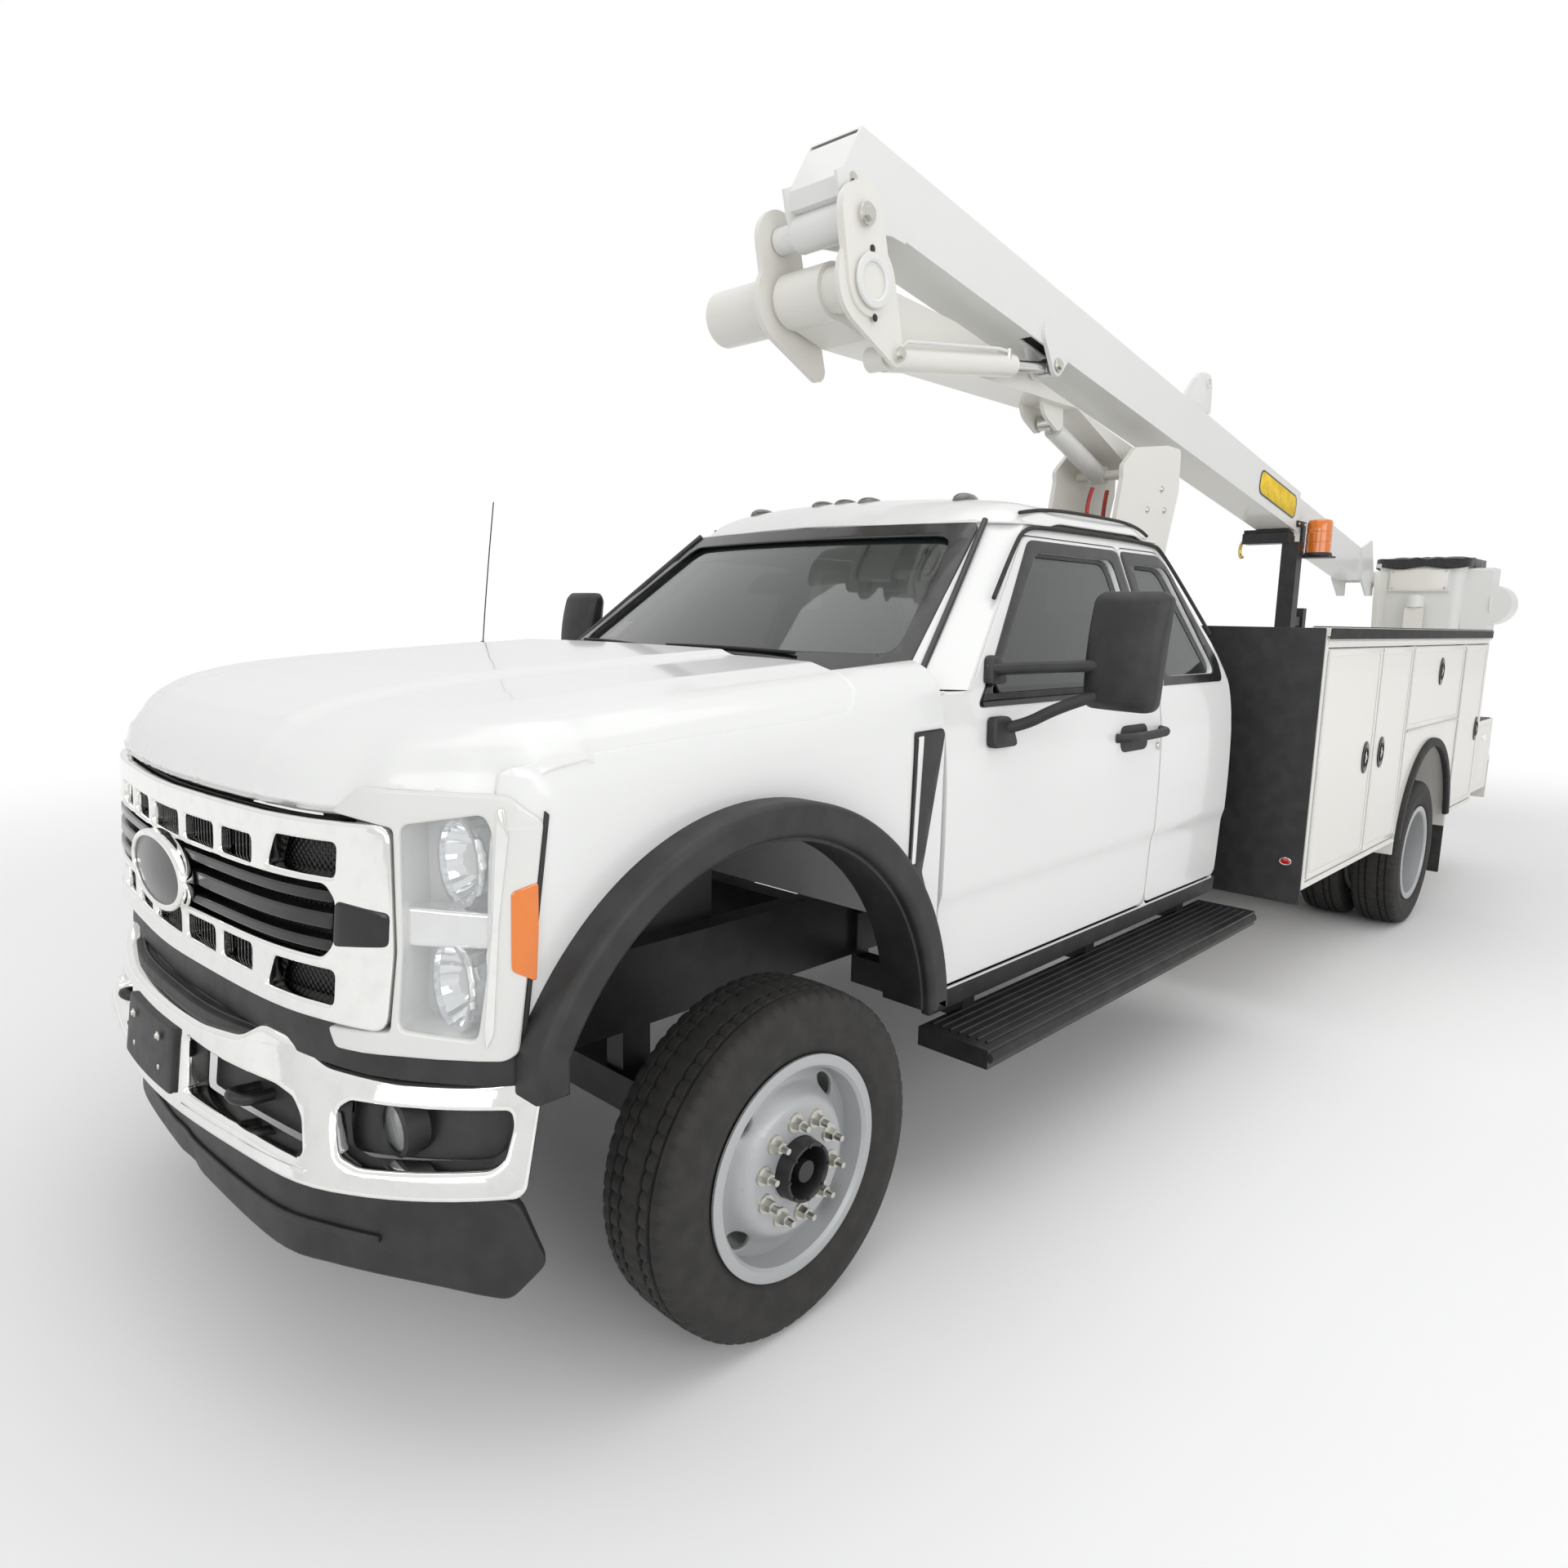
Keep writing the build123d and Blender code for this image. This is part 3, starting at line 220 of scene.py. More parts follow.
mats = {
    "white": paint("whitePaint", (0.80, 0.81, 0.795), 0.26, shade=0.04),
    "body": paint("bodyPaint", (0.80, 0.785, 0.735), 0.34, coat=0.35, shade=0.05),
    "boom": paint("boomPaint", (0.78, 0.785, 0.765), 0.38, coat=0.3, shade=0.06, peel=0.12),
    "frame": plastic("framePaint", (0.012, 0.012, 0.013), 0.42, 90, 0.08),
    "wheel": paint("wheelPaint", (0.44, 0.45, 0.455), 0.42, 0.25, 0.2, 0.1),
    "iron": metal("engineIron", (0.22, 0.22, 0.23), 0.55, 0.2, 90),
    "chrome": metal("chrome", (0.86, 0.86, 0.84), 0.05, 0.003, 14),
    "steel": metal("rodSteel", (0.68, 0.68, 0.67), 0.16),
    "zinc": metal("zincBolts", (0.62, 0.61, 0.56), 0.3, 0.06, 200),
    "black": plastic("blackPlastic", (0.012, 0.012, 0.013), 0.5),
    "trim": plastic("glossTrim", (0.008, 0.008, 0.009), 0.16, 60, 0.02),
    "rubber": plastic("rubber", (0.02, 0.019, 0.018), 0.78, 300, 0.3),
    "seat": fabric("seatCloth", (0.022, 0.023, 0.025), 900),
    "vinyl": fabric("blackVinyl", (0.012, 0.012, 0.013), 500),
    "amber": clearPlastic("amberLens", (0.80, 0.20, 0.012), 0.94),
    "smoke": clearPlastic("smokedLens", (0.10, 0.095, 0.085), 0.93),
    "redLens": clearPlastic("redLens", (0.55, 0.012, 0.008), 0.95),
    "clear": clearPlastic("clearLens", (0.85, 0.87, 0.88), 0.16, 0.03),
    "mirror": metal("mirrorFace", (0.85, 0.87, 0.88), 0.02, 0.0, 5),
    "redHose": plastic("redHose", (0.32, 0.02, 0.015), 0.45, 200, 0.1),
    "brass": metal("brass", (0.62, 0.45, 0.16), 0.25, 0.05, 90),
    "yellow": plastic("yellowWeb", (0.72, 0.50, 0.03), 0.7, 400, 0.2),
    "blue": plastic("blueCap", (0.02, 0.12, 0.42), 0.4, 300, 0.05),
    "card": paint("paleCard", (0.72, 0.72, 0.68), 0.7, coat=0.0),
    "lampWhite": paint("lampHousing", (0.72, 0.72, 0.70), 0.32, 0.1, 0.4),
}


# Window glass with a barely uneven face.
def glassMaterial(name, tint, alpha):
    s = Shader(name)
    s.put("Base Color", tint).put("Roughness", s.noise(3, 2) * 0.02 + 0.01).put("IOR", 1.5)
    s.put("Alpha", s.noise(2, 2) * 0.06 + alpha).put("Coat Weight", 1.0)
    return s.bump(s.noise(1.3, 1), 0.02, 0.004).mat


mats["glass"] = glassMaterial("tintedGlass", (0.02, 0.028, 0.026), 0.62)
mats["screen"] = glassMaterial("windshieldGlass", (0.05, 0.065, 0.06), 0.34)


# Tyre rubber, scuffed paler in places.
def tyreMaterial():
    s = Shader("tyreRubber")
    worn = s.noise(18, 5).step(0.3, 0.75)
    s.put("Base Color", worn.blend((0.020, 0.019, 0.018), (0.031, 0.029, 0.027)))
    s.put("Roughness", s.noise(40, 3) * 0.15 + 0.72)
    return s.bump(s.noise(420, 3), 0.3, 0.0008).mat


mats["tyre"] = tyreMaterial()


# Punched black mesh: small holes in rows, as dimples in the bump, with painted shade making the holes
# near black.
def meshMaterial():
    s = Shader("grilleMesh")
    x, y, z = s.axes()
    holes = (y * 420).op("SINE") * (z * 420).op("SINE")
    # painted shade: the holes are coloured near black for the dark seen through them
    s.put("Base Color", holes.step(-0.1, 0.35).blend((0.022, 0.022, 0.023), (0.001, 0.001, 0.001)))
    s.put("Roughness", s.noise(30, 2) * 0.1 + 0.45)
    return s.bump(holes, 0.8, 0.003).mat


mats["mesh"] = meshMaterial()

# finish of each CAD slot
cadMaterials = {
    "white_paint": "white",
    "body_paint": "body",
    "boom_white": "boom",
    "black_frame": "frame",
    "silver_paint": "wheel",
    "engine_grey": "iron",
    "chrome": "chrome",
    "rod_chrome": "steel",
    "glass": "glass",
    "tyre": "tyre",
    "black_plastic": "black",
    "lamp_plastic": "lampWhite",
    "amber": "amber",
    "interior": "seat",
    "vinyl": "vinyl",
}
for part in frame["record"]["subparts"]:
    obj = bpy.data.objects.get(part["node"])
    if obj is None:
        continue
    obj.data.materials.clear()
    dress = "boom" if part["node"] == "lift_barrel" else cadMaterials[part["material_slot"]]
    obj.data.materials.append(mats[dress])


# world, lights and floor
# White to the camera and in glass; the room that lights the truck is darker below.
def makeWorld():
    world = bpy.data.worlds.new("studio")
    bpy.context.scene.world = world
    world.use_nodes = True
    tree = world.node_tree
    tree.nodes.clear()
    out = tree.nodes.new("ShaderNodeOutputWorld")
    pick = tree.nodes.new("ShaderNodeMixShader")
    rays = tree.nodes.new("ShaderNodeLightPath")
    white = tree.nodes.new("ShaderNodeBackground")
    white.inputs[0].default_value = (1, 1, 1, 1)
    room = tree.nodes.new("ShaderNodeBackground")
    coords = tree.nodes.new("ShaderNodeTexCoord")
    split = tree.nodes.new("ShaderNodeSeparateXYZ")
    ramp = tree.nodes.new("ShaderNodeValToRGB")
    tree.links.new(coords.outputs["Generated"], split.inputs[0])
    tree.links.new(split.outputs[2], ramp.inputs[0])
    stops = ((0.0, 0.10), (0.02, 0.16), (0.12, 0.62), (0.5, 1.0))
    bar = ramp.color_ramp
    while len(bar.elements) < len(stops):
        bar.elements.new(0.5)
    for element, (place, value) in zip(bar.elements, stops):
        element.position = place
        element.color = (value, value, value * 1.01, 1)
    tree.links.new(ramp.outputs[0], room.inputs[0])
    room.inputs[1].default_value = 0.62
    seen = Sock(tree, rays.outputs["Is Camera Ray"])
    for kind in ("Is Glossy Ray", "Is Transmission Ray"):
        seen = seen.op("MAXIMUM", Sock(tree, rays.outputs[kind]) * 0.8)
    tree.links.new(seen.out, pick.inputs[0])
    tree.links.new(room.outputs[0], pick.inputs[1])
    tree.links.new(white.outputs[0], pick.inputs[2])
    tree.links.new(pick.outputs[0], out.inputs[0])


# Rectangular light turned to face a place.
def areaLight(name, place, target, size, power):
    data = bpy.data.lights.new(name, "AREA")
    data.shape = "RECTANGLE"
    data.size, data.size_y = size
    data.energy = power
    obj = bpy.data.objects.new(name, data)
    obj.location = place
    obj.rotation_euler = (Vector(target) - Vector(place)).to_track_quat("-Z", "Y").to_euler()
    bpy.context.scene.collection.objects.link(obj)


makeWorld()
lights = (
    # name, place, what it points at, size, power
    ("topLight", (2, 1, 9), (0, 0, 1), (12, 8), 300),
    ("sideLight", (4, 9, 4), (1, 0, 1.2), (9, 4), 230),
    ("frontLight", (11, 3, 3.5), (3, 0, 1.0), (6, 3), 110),
)
for row in lights:
    areaLight(*row)


# Paper floor.
def makeFloor():
    mesh = bpy.data.meshes.new("floor")
    r = 40
    mesh.from_pydata([(-r, -r, 0), (r, -r, 0), (r, r, 0), (-r, r, 0)], [], [(0, 1, 2, 3)])
    obj = bpy.data.objects.new("floor", mesh)
    bpy.context.scene.collection.objects.link(obj)
    s = Shader("floorPaper")
    s.put("Base Color", s.noise(0.6, 2).blend((0.93, 0.93, 0.93), (0.95, 0.95, 0.95)))
    s.put("Roughness", 0.9)
    # far from the truck the paper turns to the plain white behind it
    x, y, z = s.axes()
    away = ((x * x) + (y * y)).op("SQRT").step(3.6, 10)
    glow = s.tree.nodes.new("ShaderNodeEmission")
    pick = s.tree.nodes.new("ShaderNodeMixShader")
    s.tree.links.new(away.out, pick.inputs[0])
    s.tree.links.new(s.bsdf.outputs[0], pick.inputs[1])
    s.tree.links.new(glow.outputs[0], pick.inputs[2])
    s.tree.links.new(pick.outputs[0], s.tree.nodes["Material Output"].inputs[0])
    mesh.materials.append(s.mat)


makeFloor()
bpy.context.scene.view_settings.view_transform = "Standard"
print("stage: set")

# Smooth line through the points, as an array: a cubic between each two, in sixteen steps.
def curveThrough(points):
    p = np.array(points, float)
    ext = np.vstack([2 * p[0] - p[1], p, 2 * p[-1] - p[-2]])
    t = np.linspace(0, 1, 16, endpoint=False)[:, None]
    rows = []
    for a, b, c, d in zip(ext, ext[1:], ext[2:], ext[3:]):
        square = (2 * a - 5 * b + 4 * c - d) * t ** 2
        cube = (3 * b - a - 3 * c + d) * t ** 3
        rows.append(0.5 * (2 * b + (c - a) * t + square + cube))
    rows.append(p[-1:])
    return np.vstack(rows)


# Curved wall between two plans; places run along it, up it and out of it.
class Band:
    def __init__(self, reach, *rows):
        self.rows = []
        for z, points in rows:
            full = [(x, -y) for x, y in reversed(points[1:])] + list(points)
            line = curveThrough(full)
            run = np.r_[0, np.cumsum(np.hypot(*np.diff(line, axis=0).T))]
            half = run[-1] / 2
            self.rows.append((z, (run - half) / half * reach, line))

    def plan(self, s, z):
        (z0, s0, l0), (z1, s1, l1) = self.rows
        w = (z - z0) / (z1 - z0)
        x0, y0 = (np.interp(s, s0, l0[:, k]) for k in (0, 1))
        x1, y1 = (np.interp(s, s1, l1[:, k]) for k in (0, 1))
        return x0 + (x1 - x0) * w, y0 + (y1 - y0) * w

    def __call__(self, c):
        s, z, out = c.T
        x, y = self.plan(s, z)
        xa, ya = self.plan(s - 0.006, z)
        xb, yb = self.plan(s + 0.006, z)
        size = np.hypot(xb - xa, yb - ya) + 1e-9
        return np.stack([x + out * (yb - ya) / size, y - out * (xb - xa) / size, z], 1)


# plans of the front end: reach along the wall, then a height and its X and Y places from the middle out
nose = Band(
    1.25,
    (0.85, ((0.945, 0), (0.937, 0.2), (0.918, 0.45), (0.893, 0.60), (0.85, 0.74),
            (0.81, 0.81), (0.746, 0.904), (0.67, 0.982), (0.55, 0.998))),
    (1.32, ((0.93, 0), (0.92, 0.2), (0.895, 0.45), (0.86, 0.60), (0.80, 0.73),
            (0.75, 0.81), (0.69, 0.904), (0.63, 0.972), (0.5, 0.99))),
)
bumper = Band(
    1.2,
    (0.57, ((1.012, 0), (1.003, 0.19), (0.975, 0.42), (0.938, 0.63),
            (0.874, 0.762), (0.781, 0.879), (0.668, 0.974), (0.56, 1.03))),
    (0.77, ((0.985, 0), (0.972, 0.242), (0.93, 0.45), (0.868, 0.60),
            (0.79, 0.755), (0.69, 0.875), (0.60, 0.945), (0.5, 0.99))),
)
dam = Band(
    1.2,
    (0.355, ((0.93, 0), (0.935, 0.108), (0.915, 0.461), (0.859, 0.614),
             (0.753, 0.81), (0.672, 0.945), (0.58, 1.0))),
    (0.57, ((0.95, 0), (0.94, 0.2), (0.905, 0.45), (0.85, 0.62),
            (0.775, 0.77), (0.70, 0.90), (0.62, 0.99))),
)


# Polygon with its corners rounded.
def rounded(points, radius, each=5):
    p = np.array(points, float)
    out = []
    for a, b, c in zip(np.roll(p, 1, 0), p, np.roll(p, -1, 0)):
        u, v = a - b, c - b
        lu, lv = np.hypot(*u), np.hypot(*v)
        r = min(radius, 0.45 * lu, 0.45 * lv)
        u, v = b + u / lu * r, b + v / lv * r
        t = np.linspace(0, 1, each)[:, None]
        out.extend(((1 - t) ** 2 * u + 2 * t * (1 - t) * b + t ** 2 * v).tolist())
    return out


# Rectangle with rounded corners.
def rect(x0, x1, y0, y1, radius=0.008):
    return rounded([(x0, y0), (x1, y0), (x1, y1), (x0, y1)], radius, 4)


# Ellipse about a place, turned by an angle.
def oval(x, y, rx, ry, count=40, turn=0.0):
    a = np.linspace(0, 2 * np.pi, count, endpoint=False)
    ca, sa = math.cos(turn), math.sin(turn)
    px, py = rx * np.cos(a), ry * np.sin(a)
    return np.stack([x + px * ca - py * sa, y + px * sa + py * ca], 1).tolist()


# Same outline on the other side of the truck.
def flip(points):
    return [(-x, y) for x, y in points]


# Places round a circle in a plane of X and Z.
def circle(center, radius, count, start=0.0):
    x, y, z = center
    turns = np.linspace(0, 2 * np.pi, count, endpoint=False) + start
    return [(x + radius * math.cos(t), y, z + radius * math.sin(t)) for t in turns]


bothSides = (("left", False), ("right", True))


# Flat X and Z places on a side wall that stands at y = face.
def sideways(face):
    return lambda c: np.stack([c[:, 0], face + c[:, 2], c[:, 1]], 1)


# Flat Y and Z places on an end wall that stands at x = face.
def endways(face, way=1):
    return lambda c: np.stack([face + way * c[:, 2], c[:, 0], c[:, 1]], 1)


# Flat X and Y places on a floor that lies at z = face.
def level(face):
    return lambda c: c + (0, 0, face)


# Links a finished mesh, gives it its material and lets it ride on a body.
def addObject(name, mesh, material, body, hides=(), smooth=35):
    obj = bpy.data.objects.new(name, mesh)
    bpy.context.scene.collection.objects.link(obj)
    mesh.materials.clear()
    mesh.materials.append(mats[material])
    mesh.shade_smooth()
    mesh.set_sharp_from_angle(angle=math.radians(smooth))
    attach(obj, body)
    if hides:
        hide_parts(*hides)
    return obj


# Bends a mesh by a warp, brings it into the frame, then closes it and turns its faces outwards.
def toWorld(mesh, warp, mirror=False):
    count = len(mesh.vertices)
    co = np.empty(count * 3)
    mesh.vertices.foreach_get("co", co)
    co = warp(co.reshape(-1, 3))
    co = np.array(co, float)
    if mirror:
        co[:, 1] *= -1
    co[:, 0] += shift
    mesh.vertices.foreach_set("co", co.ravel())
    bm = bmesh.new()
    bm.from_mesh(mesh)
    bmesh.ops.remove_doubles(bm, verts=bm.verts, dist=1e-5)
    bmesh.ops.recalc_face_normals(bm, faces=bm.faces)
    bm.to_mesh(mesh)
    bm.free()
    mesh.update()


# Bevelled plate with holes, drawn flat and bent onto a surface by warp.
def plate(name, loops, low, high, warp, material, body="chassis", bevel=0.003, step=0.04, hides=(),
        mirror=False, rings=2, smooth=35):
    data = bpy.data.curves.new(name, "CURVE")
    data.dimensions = "2D"
    data.fill_mode = "BOTH"
    data.extrude = max((high - low) / 2 - bevel, 0)
    data.bevel_depth = bevel
    data.bevel_resolution = rings - 1
    data.offset = -bevel
    for loop in loops:
        line = data.splines.new("POLY")
        line.points.add(len(loop) - 1)
        line.points.foreach_set("co", np.array([(x, y, 0, 1) for x, y in loop]).ravel())
        line.use_cyclic_u = True
    obj = bpy.data.objects.new(name + "Flat", data)
    mesh = bpy.data.meshes.new_from_object(obj)
    bpy.data.objects.remove(obj)
    bpy.data.curves.remove(data)
    bm = bmesh.new()
    bm.from_mesh(mesh)
    bmesh.ops.remove_doubles(bm, verts=bm.verts, dist=1e-6)
    if step:
        for axis in (0, 1):
            values = [v.co[axis] for v in bm.verts]
            for cut in np.arange(min(values) + step / 2, max(values), step):
                spot, face = [0, 0, 0], [0, 0, 0]
                spot[axis], face[axis] = cut, 1
                bmesh.ops.bisect_plane(bm, geom=bm.verts[:] + bm.edges[:] + bm.faces[:], dist=1e-6,
                    plane_co=spot, plane_no=face)
    bm.to_mesh(mesh)
    bm.free()
    middle = (low + high) / 2
    toWorld(mesh, lambda c: warp(c + (0, 0, middle)), mirror)
    return addObject(name, mesh, material, body, hides, smooth)


# A left piece and its mirror image.
def pair(name, *args, body=("chassis", "chassis"), hides=((), ()), **words):
    for k, (side, mirror) in enumerate(bothSides):
        plate(f"{name}_{side}", *args, body=body[k], hides=hides[k], mirror=mirror, **words)


# Profile of radius and height turned about an axis through the center.
def lathe(name, profile, axis, center, material, body, hides=(), count=96, mirror=False, shape=None,
        smooth=30):
    p = np.array(profile, float)
    a = np.linspace(0, 2 * np.pi, count, endpoint=False)
    r = np.repeat(p[None, :, 0], count, 0)
    h = np.repeat(p[None, :, 1], count, 0)
    if shape is not None:
        r, h = shape(a[:, None] + 0 * r, r, h)
    u, v = r * np.cos(a)[:, None], r * np.sin(a)[:, None]
    place = {"x": (h, u, v), "y": (u, h, v), "z": (u, v, h)}[axis]
    co = np.stack(place, -1).reshape(-1, 3) + np.array(center)
    n = len(p)
    i, j = np.meshgrid(np.arange(count), np.arange(n), indexing="ij")
    k, l = (i + 1) % count, (j + 1) % n
    faces = np.stack([i * n + j, k * n + j, k * n + l, i * n + l], -1).reshape(-1, 4)
    mesh = bpy.data.meshes.new(name)
    mesh.from_pydata(co.tolist(), [], faces.tolist())
    toWorld(mesh, lambda c: c, mirror)
    return addObject(name, mesh, material, body, hides, smooth)


# Surface through a grid of places, given thickness inwards.
def gridMesh(name, places, material, body, thick, hides=(), smooth=40):
    rows, cols = places.shape[:2]
    i, j = np.meshgrid(np.arange(rows - 1), np.arange(cols - 1), indexing="ij")
    at = i * cols + j
    faces = np.stack([at, at + 1, at + cols + 1, at + cols], -1).reshape(-1, 4)
    mesh = bpy.data.meshes.new(name)
    mesh.from_pydata(places.reshape(-1, 3).tolist(), [], faces.tolist())
    uv = mesh.uv_layers.new(name="UVMap")
    su, sv = np.meshgrid(np.linspace(0, 1, cols), np.linspace(0, 1, rows))
    flat = np.stack([su, sv], -1).reshape(-1, 2)
    index = np.empty(len(mesh.loops), dtype=int)
    mesh.loops.foreach_get("vertex_index", index)
    uv.data.foreach_set("uv", flat[index].ravel())
    toWorld(mesh, lambda c: c)
    obj = addObject(name, mesh, material, body, hides, smooth)
    solid = obj.modifiers.new("solid", "SOLIDIFY")
    solid.thickness = thick
    solid.offset = -1
    return obj


# Round bar or hose through control points.
def tube(name, points, radius, material, body, hides=(), mirror=False, smooth=True, order=3):
    data = bpy.data.curves.new(name, "CURVE")
    data.dimensions = "3D"
    data.bevel_depth = radius
    data.bevel_resolution = 4
    data.use_fill_caps = True
    line = data.splines.new("NURBS" if smooth else "POLY")
    line.points.add(len(points) - 1)
    sign = -1 if mirror else 1
    line.points.foreach_set("co", np.array([(x + shift, y * sign, z, 1) for x, y, z in points]).ravel())
    if smooth:
        line.order_u = order
        line.use_endpoint_u = True
    data.resolution_u = 12
    obj = bpy.data.objects.new(name + "Line", data)
    mesh = bpy.data.meshes.new_from_object(obj)
    bpy.data.objects.remove(obj)
    bpy.data.curves.remove(data)
    mesh.name = name
    return addObject(name, mesh, material, body, hides, 50)


# Hexagon heads on washers, all in one mesh; places are their seats.
def bolts(name, places, axis, radius, height, material, body, sides=6, mirror=False, washer=True):
    bm = bmesh.new()
    out = {"x": Vector((1, 0, 0)), "y": Vector((0, 1, 0)), "z": Vector((0, 0, 1))}[axis]
    turn = out.to_track_quat("Z", "Y").to_matrix().to_4x4()
    for place in places:
        base = Matrix.Translation(Vector(place)) @ turn
        parts = [(radius, radius * 0.86, height, 0.0, sides)]
        if washer:
            seatDisc = (radius * 1.45, radius * 1.4, height * 0.22, 0.0, 20)
            parts = [seatDisc, (radius, radius * 0.86, height * 0.8, height * 0.2, sides)]
        for r0, r1, tall, lift, n in parts:
            bmesh.ops.create_cone(bm, cap_ends=True, segments=n, radius1=r0, radius2=r1, depth=tall,
                matrix=base @ Matrix.Translation((0, 0, lift + tall / 2)))
    mesh = bpy.data.meshes.new(name)
    bm.to_mesh(mesh)
    bm.free()
    toWorld(mesh, lambda c: c, mirror)
    return addObject(name, mesh, material, body, (), 25)


# wheels: radii and offsets in metres
wheel = {
    "radius": 0.405,
    "treadFrom": 0.392,  # radius above which the cuts run
    "middleRib": 0.018,  # half width of the rib that no cut crosses
    "cuts": 64,
    "cutShare": 0.16,
    "cutDepth": 0.006,
    "discRadius": 0.2405,
    "discThickness": 0.012,
    "boreRadius": 0.071,
    "handHoles": (45, 135, 225, 315),
    "handHoleCircle": 0.198,
    "handHole": (0.021, 0.036),
    "nuts": 10,
    "nutCircle": 0.1125,
    "nutTurn": 0.2,
    "hubBolts": 8,
    "hubBoltCircle": 0.0635,
    "frontHubReach": 0.036,
    "rearHubReach": 0.10,
}
# radius and half width of the tyre, from the bead out to the crown
tyreHalf = [
    (0.2445, 0.088), (0.258, 0.092), (0.268, 0.098), (0.285, 0.1065), (0.292, 0.1095),
    (0.297, 0.1085), (0.315, 0.1115), (0.338, 0.1125), (0.352, 0.1118), (0.356, 0.1095),
    (0.372, 0.1075), (0.384, 0.1035), (0.3925, 0.098), (0.398, 0.091), (0.400, 0.084),
    (0.4005, 0.068), (0.391, 0.066), (0.391, 0.059), (0.4035, 0.057), (0.404, 0.036),
    (0.393, 0.034), (0.393, 0.027), (0.4045, 0.025), (0.405, 0.0),
]
tyreBore = [(0.2445, -0.05), (0.2445, 0.05)]
tyreProfile = tyreHalf + [(r, -h) for r, h in reversed(tyreHalf[:-1])] + tyreBore
rimProfile = [
    (0.231, -0.102), (0.252, -0.1025), (0.2585, -0.0985), (0.2605, -0.0985), (0.2605, -0.1045),
    (0.249, -0.108), (0.236, -0.1065), (0.2285, -0.098), (0.2255, -0.06), (0.2255, 0.06),
    (0.2285, 0.098), (0.236, 0.1065), (0.249, 0.108), (0.2605, 0.1045), (0.2605, 0.0985),
    (0.2585, 0.0985), (0.252, 0.1025), (0.2425, 0.102), (0.2425, 0.05), (0.2425, -0.05),
    (0.2425, -0.10),
]
# share of the disc's depth at each radius
discRadii = [0, 0.142, 0.150, 0.160, 0.172, 0.186, 0.205, 0.225, 0.24]
discDepths = [1, 1, 0.985, 0.92, 0.76, 0.60, 0.50, 0.46, 0.45]
wheelRows = (
    # name, x, y, body, outward face of the disc, disc depth from the middle, nodes it stands for
    ("front", 0.0, 0.950, "front_wheel", 1, 0.100, "front_tyre", "front_rim"),
    ("rearOuter", -4.877, 1.076, "rear_wheels", -1, 0.128, "rear_tyres", "rear_rims"),
    ("rearInner", -4.877, 0.804, "rear_wheels", 1, 0.128, None, None),
)


# Block tread: ribs parted by grooves, with zigzag cuts across them.
def treadShape(a, r, h):
    crown = r > wheel["treadFrom"]
    wave = 0.35 * np.abs(((h * 22) % 2) - 1)
    across = ((a * wheel["cuts"] / (2 * np.pi) + wave) % 1) < wheel["cutShare"]
    cut = crown & across & (np.abs(h) > wheel["middleRib"])
    return np.where(cut, r - wheel["cutDepth"], r), h


# Disc that falls from the nut face to the rim.
def dishWarp(center, face, deep):
    def dish(c):
        h = np.interp(np.hypot(c[:, 0], c[:, 1]), discRadii, discDepths)
        y = center[1] + face * (deep * h) + face * c[:, 2]
        return np.stack([center[0] + c[:, 0], y, center[2] + c[:, 1]], 1)
    return dish


# Nuts, studs, hub cap and its bolts, for one wheel.
def makeHub(name, side, mirror, x, outer, reach, on):
    z = wheel["radius"]
    lugs = circle((x, outer, z), wheel["nutCircle"], wheel["nuts"], wheel["nutTurn"])
    bolts(f"{name}Nuts_{side}", lugs, "y", 0.0155, 0.024, "zinc", on, 6, mirror)
    studs = [(a, b + 0.022, c) for a, b, c in lugs]
    bolts(f"{name}Studs_{side}", studs, "y", 0.0085, 0.022, "zinc", on, 12, mirror, False)
    hubLine = [
        (0.030, outer - 0.09), (0.0705, outer - 0.09), (0.0705, outer + reach * 0.6),
        (0.068, outer + reach), (0.061, outer + reach), (0.058, outer + reach - 0.006),
        (0.056, outer - 0.035), (0.030, outer - 0.04), (0.024, outer - 0.01),
        (0.0, outer - 0.008), (0.0, outer - 0.09),
    ]
    lathe(f"{name}Hub_{side}", hubLine, "y", (x, 0, z), "frame", on, (), 64, mirror)
    teeth = circle((x, outer + reach - 0.002, z), wheel["hubBoltCircle"], wheel["hubBolts"])
    bolts(f"{name}HubBolts_{side}", teeth, "y", 0.0045, 0.005, "frame", on, 6, mirror, False)


# Tyre, rim and disc of each wheel; the inner rear ones have no hub of their own.
def makeWheels():
    holes = []
    for t in np.radians(wheel["handHoles"]):
        x, y = wheel["handHoleCircle"] * math.cos(t), wheel["handHoleCircle"] * math.sin(t)
        holes.append(oval(x, y, *wheel["handHole"], 28, t))
    edge = oval(0, 0, wheel["discRadius"], wheel["discRadius"], 96)
    bore = oval(0, 0, wheel["boreRadius"], wheel["boreRadius"], 48)
    for side, mirror in bothSides:
        for name, x, y, body, face, deep, tyreNode, rimNode in wheelRows:
            on = f"{body}_{side}"
            hidesTyre = (f"{tyreNode}_{side}",) if tyreNode else ()
            hidesRim = (f"{rimNode}_{side}",) if rimNode else ()
            center = (x, y, wheel["radius"])
            lathe(f"{name}Tyre_{side}", tyreProfile, "y", center, "tyre", on, hidesTyre, 256, mirror,
                  treadShape, 40)
            lathe(f"{name}Rim_{side}", rimProfile, "y", center, "wheel", on, (), 96, mirror)
            plate(f"{name}Disc_{side}", [edge, *holes, bore], -wheel["discThickness"], 0.0,
                  dishWarp(center, face, deep), "wheel", on, 0.003, 0.014, hidesRim, mirror)
            if name == "rearInner":
                continue
            top = y + face * deep
            outer = top if face > 0 else top + wheel["discThickness"]
            hubReach = wheel["frontHubReach"] if face > 0 else wheel["rearHubReach"]
            makeHub(name, side, mirror, x, outer, hubReach, on)


